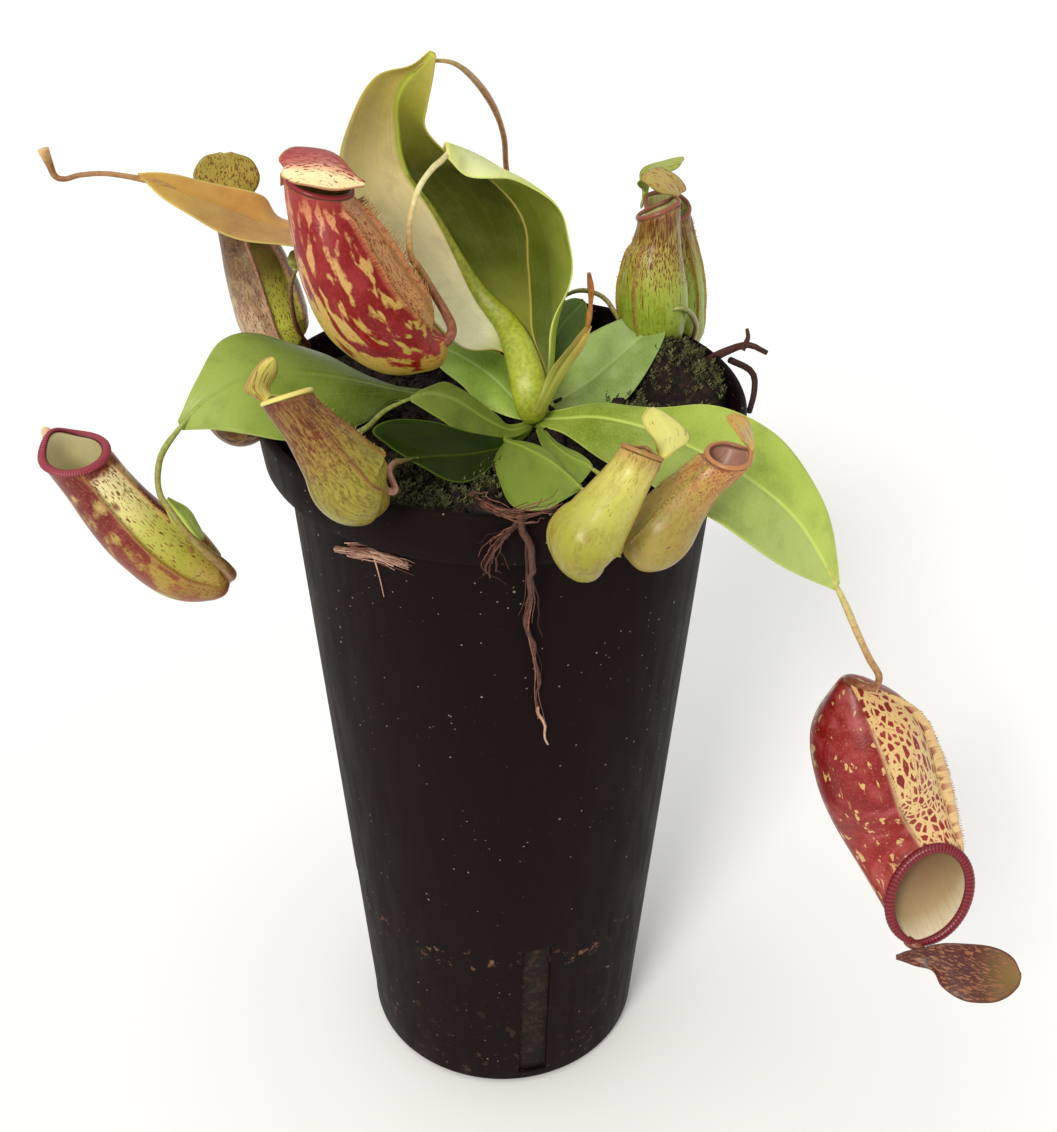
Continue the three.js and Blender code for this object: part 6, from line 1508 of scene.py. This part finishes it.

# each lining ramp is darker at its low end: painted shade inside the cup
# the sheen tones are painted sheen, laid over the ground by paintedSheen and the fine grain
pitcherLooks = {
    "hero": {
        "ground": [(0, "#892e1c"), (0.1, "#7f180f"), (0.4, "#790c0a"), (0.75, "#7d130f"),
            (0.9, "#902c27"), (1, "#9c3532")],
        "island": [(0, "#ac8236"), (0.25, "#b39945"), (0.5, "#bd9f54"), (0.75, "#c88e60"), (1, "#bc6450")],
        "panelTones": [(0, "#b88848"), (0.5, "#bc8a52"), (1, "#bc8c64")],
        "lining": [(0, "#7c5a28"), (0.6, "#b0a04e"), (1, "#a89650")], "sheen": "#a8383e",
        "deep": "#5c0606", "freckle": "#9a3820", "streak": "#8a3c28", "wing": "#b4784a",
        "islandSize": (2.2, 7.0), "seed": 3, "paintedSheen": 0.45, "freckles": 0.35, "soft": 0.05, "ragged": 0.07,
        "rearTurn": (1.25, 2.5),
        "islands": [(0, 0.5, 0.4, 0.7), (0.15, 1, 0.26, 1.0), (0.3, 1, 0.22, 1.0), (0.45, 1, 0.24, 0.85),
            (0.65, 1, 0.28, 0.5), (0.85, 1, 0.36, 0.5), (1, 1, 0.26, 0.4)],
        "streaks": [(0, 0.2, 0.1, 0.1), (0.5, 0.34, 0.03, 0.08), (1, 0.3, 0.12, 0.3)],
        "streakSize": (0.4, 1.6),
    },
    "left": {
        "ground": [(0, "#985c35"), (0.25, "#91572e"), (0.5, "#76281b"), (0.75, "#661511"), (1, "#6c1b18")],
        "island": [(0, "#9f702e"), (0.3, "#9f8435"), (0.55, "#a68e40"), (0.8, "#c7a96c"), (1, "#ae724d")],
        "panelTones": [(0, "#ac904a"), (0.25, "#b69f49"), (0.4, "#a6a33c"), (0.55, "#c2bf5a"),
            (0.68, "#e7dd93"), (0.85, "#f0e0ab"), (0.95, "#ac7b4a"), (1, "#905437")],
        "lining": [(0, "#9d9252"), (0.5, "#cec286"), (1, "#ddd5a4")], "sheen": "#b0605a",
        "deep": "#6a2418", "freckle": "#8c5428", "streak": "#7c4c24", "wing": "#a46c3c",
        "islandSize": (4.2, 6), "seed": 14, "paintedSheen": 0.2, "soft": 0.08, "ragged": 0.1, "liningMarks": 0.05,
        "islands": [(0, 0.8, 0.5, 0.5), (0.2, 0.9, 0.55, 0.75), (0.4, 1, 0.5, 0.7), (0.6, 1, 0.4, 0.5),
            (0.8, 1, 0.36, 0.4), (0.92, 0.6, 0.1, 0.2), (1, 0.3, 0, 0)],
        "streaks": [(0, 0.15, 0.3, 0.3), (0.4, 0.2, 0.2, 0.25), (0.8, 0.26, 0.15, 0.2),
            (0.93, 0.45, 0.3, 0.3), (1, 0.3, 0.2, 0.2)],
        "streakSize": (0.42, 2.2),
    },
    "right": {
        "ground": [(0, "#782216"), (0.15, "#801610"), (0.5, "#841b16"), (0.8, "#8b201c"), (1, "#8b2622")],
        "island": [(0, "#b99264"), (0.4, "#c8a96a"), (0.7, "#cbac6e"), (1, "#c0956a")],
        "panelTones": [(0, "#caa56c"), (0.5, "#ddbf83"), (1, "#dab783")],
        "lining": [(0, "#4c3418"), (0.55, "#644628"), (0.8, "#84644a"), (0.93, "#b09870"), (1, "#dccfb0")],
        "sheen": "#af5454", "deep": "#5c0e0c", "freckle": "#a2482c", "streak": "#a06a48",
        "wing": "#cdb080", "islandSize": (2.2, 5.4), "seed": 23, "paintedSheen": 0.6, "netShow": 1.0,
        "ragged": 0.1,
        "islands": [(0, 0.25, 0.05, 0.4), (0.3, 0.22, 0.08, 0.6), (0.6, 0.2, 0.14, 0.6),
            (0.85, 0.2, 0.26, 0.55), (1, 0.2, 0.15, 0.3)],
        "streaks": [(0, 0, 0, 0), (1, 0.05, 0.1, 0.1)], "liningMarks": 0.16, "pepper": 0.2,
    },
    "frontLeft": {
        "ground": [(0, "#7d4f29"), (0.2, "#756421"), (0.42, "#726720"), (0.58, "#6e4021"),
            (0.78, "#652918"), (1, "#61261a")],
        "island": [(0, "#917a35"), (0.35, "#918a30"), (0.6, "#917a37"), (1, "#865435")],
        "lining": [(0, "#6e5d2e"), (1, "#8b7a43")], "sheen": "#9f9b43", "deep": "#46260f",
        "freckle": "#776224", "streak": "#5a2413", "wing": "#7d5127", "islandSize": (0.7, 3.2), "seed": 31,
        "soft": 0.14, "paintedSheen": 0.22,
        "islands": [(0, 0.5, 0.4, 0.35), (0.4, 0.66, 0.55, 0.3), (0.7, 0.5, 0.42, 0.2),
            (1, 0.45, 0.36, 0.2)],
        "streaks": [(0, 0.06, 0.1, 0.14), (0.4, 0.08, 0.1, 0.3), (0.7, 0.26, 0.26, 0.5),
            (1, 0.26, 0.26, 0.5)],
        "streakSize": (0.3, 2.0), "freckles": 0.3,
    },
    "frontRight": {
        "ground": [(0, "#807226"), (0.25, "#877f29"), (0.5, "#a19d3f"), (0.8, "#bbae54"), (1, "#a17a3f")],
        "island": [(0, "#8f8530"), (0.3, "#928c30"), (0.55, "#b3b251"), (0.8, "#c9c266"), (1, "#b38c4d")],
        "lining": [(0, "#6f6226"), (1, "#8d7f3f")], "sheen": "#c9c87b", "deep": "#7a6f22",
        "freckle": "#827832", "streak": "#806b2d", "wing": "#82702d", "islandSize": (1.6, 5), "seed": 37,
        "soft": 0.16, "paintedSheen": 0.4,
        "islands": [(0, 0.4, 0.4, 0.4), (0.5, 0.6, 0.6, 0.6), (1, 0.6, 0.5, 0.5)],
        "streaks": [(0, 0, 0, 0), (0.7, 0, 0.02, 0.02), (1, 0.2, 0.12, 0.12)], "streakSize": (0.3, 2),
        "freckles": 0.15,
    },
    "frontRightBack": {
        "ground": [(0, "#887032"), (0.3, "#927e36"), (0.5, "#987a3f"), (0.68, "#a8713e"),
            (0.85, "#a8663a"), (1, "#a86a46")],
        "island": [(0, "#92853c"), (0.4, "#988c43"), (0.7, "#b38f4e"), (1, "#bb8756")],
        "lining": [(0, "#816042"), (1, "#a47866")], "sheen": "#bfa166", "deep": "#775729",
        "freckle": "#83622f", "streak": "#7b4129", "wing": "#998d42", "islandSize": (1.0, 2.6), "seed": 41,
        "soft": 0.14, "paintedSheen": 0.35, "islands": [(0, 0.5, 0.5, 0.5), (1, 0.5, 0.5, 0.5)],
        "streaks": [(0, 0, 0, 0), (0.4, 0.04, 0.04, 0.04), (0.65, 0.2, 0.2, 0.2), (1, 0.3, 0.3, 0.3)],
        "streakSize": (0.4, 0.8), "freckles": 0.3,
    },
    "backRight": {
        "ground": [(0, "#5e4420"), (0.1, "#705a24"), (0.22, "#828d2d"), (0.4, "#8a9d2a"),
            (0.5, "#8f962f"), (0.7, "#927431"), (1, "#834426")],
        "island": [(0, "#919d37"), (0.45, "#9aae3d"), (0.75, "#a89c48"), (1, "#9d8048")],
        "lining": [(0, "#817a3d"), (1, "#b3b476")], "sheen": "#bbcc5f", "deep": "#63641e",
        "freckle": "#7b842b", "streak": "#68361a", "wing": "#9d7839", "islandSize": (0.8, 4), "seed": 43,
        "soft": 0.12, "paintedSheen": 0.3, "islands": [(0, 0.5, 0.5, 0.5), (1, 0.5, 0.5, 0.5)],
        "streaks": [(0, 0.35, 0.35, 0.35), (0.15, 0.1, 0.1, 0.1), (0.45, 0.06, 0.1, 0.1),
            (0.62, 0.3, 0.32, 0.32), (0.75, 0.42, 0.46, 0.46), (1, 0.46, 0.5, 0.5)],
        "streakSize": (0.32, 4.4), "freckles": 0.25,
    },
    "backLeft": {
        "ground": [(0, "#c49381"), (0.3, "#c49975"), (0.6, "#6c5145"), (0.85, "#3c2722"), (1, "#362319")],
        "island": [(0, "#c8a494"), (0.45, "#c4a884"), (0.7, "#6e5537"), (1, "#553c22")],
        "panelTones": [(0, "#d7d358"), (0.4, "#dcdd58"), (0.65, "#69652a"), (0.85, "#463f16"),
            (1, "#3d3314")],
        "lining": [(0, "#7a6434"), (1, "#8a6c40")], "sheen": "#c4ac6c", "deep": "#5a441a",
        "freckle": "#7a6430", "streak": "#6a4424", "wing": "#b8846c", "islandSize": (1.2, 4), "seed": 47,
        "soft": 0.1, "paintedSheen": 0.3, "islands": [(0, 1, 0.5, 0.5), (1, 1, 0.5, 0.5)],
        "streaks": [(0, 0.22, 0.2, 0.2), (0.5, 0.26, 0.24, 0.24), (1, 0.34, 0.4, 0.4)],
        "streakSize": (0.35, 1.2), "freckles": 0.4,
    },
    "lowLeft": {
        "ground": [(0, "#7a4a30"), (0.5, "#6a4a28"), (1, "#5c3c22")],
        "island": [(0, "#8a6a3c"), (1, "#8a7040")], "lining": [(0, "#5a4424"), (1, "#7a6038")],
        "sheen": "#8a6440", "deep": "#3a2412", "freckle": "#6a4c28", "streak": "#442414",
        "wing": "#7a5a34", "islandSize": (1.6, 3), "seed": 53, "soft": 0.05,
        "islands": [(0, 0.4, 0.4, 0.4), (1, 0.5, 0.5, 0.5)],
        "streaks": [(0, 0.3, 0.3, 0.3), (1, 0.3, 0.3, 0.3)],
    },
    "back": {
        "ground": [(0, "#9a7a40"), (0.3, "#8c5a34"), (0.7, "#8a3a28"), (1, "#8c4030")],
        "island": [(0, "#b0964c"), (0.5, "#b89a54"), (1, "#c09a60")],
        "lining": [(0, "#7a6434"), (1, "#a08c50")], "sheen": "#b06a50", "deep": "#5a2418",
        "freckle": "#8a4a2c", "streak": "#6a2a1a", "wing": "#a8803c", "islandSize": (1.8, 5), "seed": 59,
        "islands": [(0, 0.6, 0.6, 0.6), (0.5, 0.6, 0.5, 0.5), (1, 0.5, 0.4, 0.4)],
        "streaks": [(0, 0.2, 0.2, 0.2), (1, 0.2, 0.2, 0.2)],
    },
}

lipLooks = {
    "hero": {"groove": "#6c1418", "crest": "#8c2428", "inner": "#6a4a28"},
    "left": {"groove": "#6c1c2c", "crest": "#a43c4a", "inner": "#501618"},
    "right": {"groove": "#560e1a", "crest": "#821e2a", "inner": "#6c2024"},
    "yellow": {"groove": "#d0c468", "crest": "#dcd074", "inner": "#8a7a3c"},
    "orange": {"groove": "#a0683c", "crest": "#bc8458", "inner": "#8a5a44"},
    "thin": {"groove": "#98703a", "crest": "#a87c44", "inner": "#7a5830"},
    "pink": {"groove": "#7a3c2c", "crest": "#9a5a42", "inner": "#8a5c40"},
    "brown": {"groove": "#54301a", "crest": "#7c5230", "inner": "#5c4426"},
}

lidLooks = {
    "hero": {
        "across": [(0, "#8a5038"), (0.04, "#ecd8a0"), (0.3, "#f2e2ae"), (0.4, "#e4bc90"),
            (0.5, "#cc8c72"), (0.62, "#bc6c5c"), (0.8, "#b05450"), (1, "#a04040")],
        "tip": "#e0c88c", "mark": "#94302c", "edge": "#b07850", "tipShow": 0.3, "markSize": (0.4, 1.5),
        "markShare": [(0, 0.14), (0.28, 0.14), (0.38, 0.34), (0.55, 0.44), (1, 0.5)],
    },
    "right": {
        "across": [(0, "#4d150e"), (0.5, "#46100a"), (1, "#4d1910")], "tip": "#806a34", "mark": "#875434",
        "edge": "#542c19", "tipShow": 0.8, "markSize": (0.5, 1.8),
        "markShare": [(0, 0.32), (0.5, 0.32), (1, 0.38)],
    },
    "frontLeft": {
        "across": [(0, "#b9a250"), (0.3, "#e1d46b"), (0.7, "#ebdd74"), (1, "#d4c25d")], "tip": "#d8cb62",
        "mark": "#9b7843", "edge": "#a67c43", "markSize": (0.35, 3), "markShare": [(0, 0.3), (1, 0.26)],
    },
    "pale": {
        "across": [(0, "#d2cf6b"), (0.5, "#e1df7d"), (1, "#d8d573")], "tip": "#d2c66b", "mark": "#a8783c",
        "edge": "#b7a654", "markShare": [(0, 0.05), (1, 0.08)],
    },
    "orange": {
        "across": [(0, "#c8a04c"), (0.5, "#d0ac54"), (1, "#cc9a48")], "tip": "#c89048", "mark": "#a06a34",
        "edge": "#b8843c", "markShare": [(0, 0.25), (1, 0.3)],
    },
    "dome": {
        "across": [(0, "#aa9741"), (0.5, "#b69f51"), (1, "#ae9a4c")], "tip": "#a89b4b", "mark": "#94382c",
        "edge": "#948138", "markShare": [(0, 0.22), (1, 0.3)],
    },
    "green": {
        "across": [(0, "#8c9a3c"), (0.5, "#98a444"), (1, "#8c9a3c")], "tip": "#a0a84a", "mark": "#7a6a30",
        "edge": "#8a9440", "markShare": [(0, 0.2), (1, 0.2)],
    },
    "olive": {
        "across": [(0, "#a08c38"), (0.5, "#a8963c"), (1, "#a48c38")], "tip": "#98883a", "mark": "#74501f",
        "edge": "#8c7a34", "markSize": (0.5, 0.8), "markShare": [(0, 0.32), (1, 0.36)],
    },
    "red": {
        "across": [(0, "#b08a58"), (0.5, "#c09a64"), (1, "#b0845a")], "tip": "#b08a58", "mark": "#8a3c2c",
        "edge": "#8c5a3a", "markShare": [(0, 0.45), (1, 0.5)],
    },
}
hairMaterial = twiningTendril("hairsOnWings", [(0, "#b88450"), (1, "#c89a64")])
plants = [
    ("pitcher_hero", pitcherHero, "hero", "pitcher_red", "hero", "hero", "pitcher_lid_red", (420, 1.9)),
    ("pitcher_left", pitcherLeft, "left", "pitcher_red", "left", None, None, (80, 0.6)),
    ("pitcher_right", pitcherRight, "right", "pitcher_red", "right", "right", "pitcher_lid_red",
        (420, 0.7)),
    ("pitcher_front_left", pitcherFrontLeft, "frontLeft", "pitcher_green", "yellow", "frontLeft",
        "pitcher_lid_green", (90, 0.9)),
    ("pitcher_front_right", pitcherFrontRight, "frontRight", "pitcher_green", "thin", "pale",
        "pitcher_lid_green", None),
    ("pitcher_front_right_back", pitcherFrontRightBack, "frontRightBack", "pitcher_green", "orange",
        "orange", "pitcher_lid_green", (40, 0.7)),
    ("pitcher_back_right", pitcherBackRight, "backRight", "pitcher_green", "pink", "dome",
        "pitcher_lid_green", (60, 0.7)),
    ("pitcher_back_right_rear", pitcherBackRightRear, "backRight", "pitcher_green", "pink", "green",
        "pitcher_lid_green", (60, 0.7)),
    ("pitcher_back_left", pitcherBackLeft, "backLeft", "pitcher_green", "brown", "olive",
        "pitcher_lid_green", (60, 1.6)),
    ("pitcher_low_left", pitcherLowLeft, "lowLeft", "pitcher_red", "brown", None, None, None),
    ("pitcher_back", pitcherBack, "back", "pitcher_red", "brown", "red", "pitcher_lid_green", (40, 1.4))]
for node, pitcher, look, skinSlot, lipLook, lidLook, lidSlot, hairs in plants:
    frames, wings = growPitcher(node, pitcher, pitcherLooks[look])
    growLip(node, pitcher, frames, lipLooks[lipLook])
    if lidLook:
        growLid(node, pitcher, frames, lidLooks[lidLook])
    if hairs:
        growHairs(node, pitcher, frames, wings, {"count": hairs[0], "length": hairs[1]}, hairMaterial)

# what is left of the left pitcher's lost lid, and the green lobe that stands up behind its tendril
lidStub = {
    "path": [(51, 441, -44), (47, 433, -43.5), (43, 427, -43)], "radii": [1.3, 1.5, 0.7], "sides": 14,
}
wingLobe = {
    "mid": [(166, 501, -45), (180, 516, -46), (191, 531, -46), (201, 544, -45)],
    "left": [(163, 505, -46), (172, 522, -47), (185, 538, -47), (199, 550, -46)],
    "right": [(168, 497, -44), (186, 507, -44), (199, 525, -44), (204, 544, -44)], "fold": 0.2,
}


def growLeftScraps():
    share = np.linspace(0, 1, 14)
    points = evenCurve(placeAll(lidStub["path"]), share)
    tip = np.sqrt(np.clip(1 - np.clip((share - 0.7) / 0.31, 0, 1) ** 2, 0.02, 1))
    radii = radiiAlong(lidStub["radii"], share) * tip * (1 + 0.12 * lumps(points, 1.6))
    material = twiningTendril("lidStubDried", [(0, "#c89468"), (1, "#e0c49a")])
    growTube("pitcher_left_stub", roundLine(points, radii, lidStub["sides"]), material,
             ["pitcher_left"])
    wave = {"length": 7, "height": 0.25, "lumps": 0.2}
    rings, faces, marks = bladeBody(wingLobe, 34, 8, 0.8, 0.5, 0.2, wave, 4)
    addPiece("pitcher_left_lobe", rings, faces, leafMaterials["right"], ["pitcher_left"],
             marks)


growLeftScraps()
print("pitchers grown")
crown = {"x": 9, "y": -3, "radius": 4.2, "foot": 212, "top": 223.5, "sides": 28, "rows": 12}


def growCrown():
    rise = np.linspace(0, 1, crown["rows"])
    turn = np.linspace(0, 2 * math.pi, crown["sides"], endpoint=False)
    rounded = np.sqrt(np.clip(1 - ((rise - 0.75) / 0.27) ** 2, 0.02, 1))
    radius = crown["radius"] * np.where(rise < 0.75, 1, rounded)
    rings = []
    for share, reach in zip(rise, radius):
        ring = reach * (1 + 0.07 * np.sin(turn * 5 + share * 3))
        z = crown["foot"] + (crown["top"] - crown["foot"]) * share
        rings.append(np.stack([crown["x"] + ring * np.cos(turn), crown["y"] + ring * np.sin(turn),
                               0 * turn + z], -1))
    material = twiningTendril("crownStem", [(0, "#6a7028"), (1, "#8a8d2a")])
    addPiece("crown_stem", np.array(rings), tubeFaces(crown["rows"], crown["sides"]), material,
             ["crown"])


growCrown()
print("crown made")
stageTone = "#f6f6f5"


def buildStage():
    mesh = bpy.data.meshes.new("floor")
    mesh.from_pydata([(-6, -3, -0.0005), (6, -3, -0.0005), (6, 9, -0.0005), (-6, 9, -0.0005)], [],
                     [(0, 1, 2, 3)])
    material, _ = startMaterial("floorPaintedMatt")
    endMaterial(material, {"Base Color": stageTone, "Roughness": 0.75, "Specular IOR Level": 0.2})
    mesh.materials.append(material)
    floor = addObject("floor", mesh)
    world = bpy.data.worlds.new("paleRoom")
    bpy.context.scene.world = world
    world.use_nodes = True
    feed(world.node_tree, world.node_tree.nodes["Background"], ["#fbfbfa", 0.66])


lamps = {
    "skyAbove": {"kind": "SUN", "from": (-0.3, -0.1, 1), "spread": 60, "power": 0.7, "tone": "#fffdf8"},
    "windowLeft": {
        "kind": "SUN", "from": (-0.45, -1.0, 0.75), "spread": 18, "power": 1.9, "tone": "#fffaf0",
    },
}


def hangLamps():
    for name, lamp in lamps.items():
        light = bpy.data.lights.new(name, lamp["kind"])
        light.angle = math.radians(lamp["spread"])
        light.energy = lamp["power"]
        light.color = toLinear(lamp["tone"])[:3]
        hung = addObject(name, light)
        hung.location = lamp["from"]
        hung.rotation_euler = Vector(lamp["from"]).to_track_quat("Z", "Y").to_euler()


def setCamera():
    lens = bpy.data.cameras.new("camera")
    lens.sensor_width = 36
    lens.lens = view["focal"] / view["imageHeight"] * 36
    camera = addObject("camera", lens)
    camera.location = (view["side"] / 1000, -view["back"] / 1000, view["height"] / 1000)
    tilt = Matrix.Rotation(math.pi / 2 - view["pitch"], 4, "X")
    camera.rotation_euler = (tilt @ Matrix.Rotation(-view["roll"], 4, "Z")).to_euler()
    bpy.context.scene.camera = camera
    bpy.context.scene.view_settings.view_transform = "Standard"


buildStage()
hangLamps()
setCamera()
print("stage, lamps and camera set")
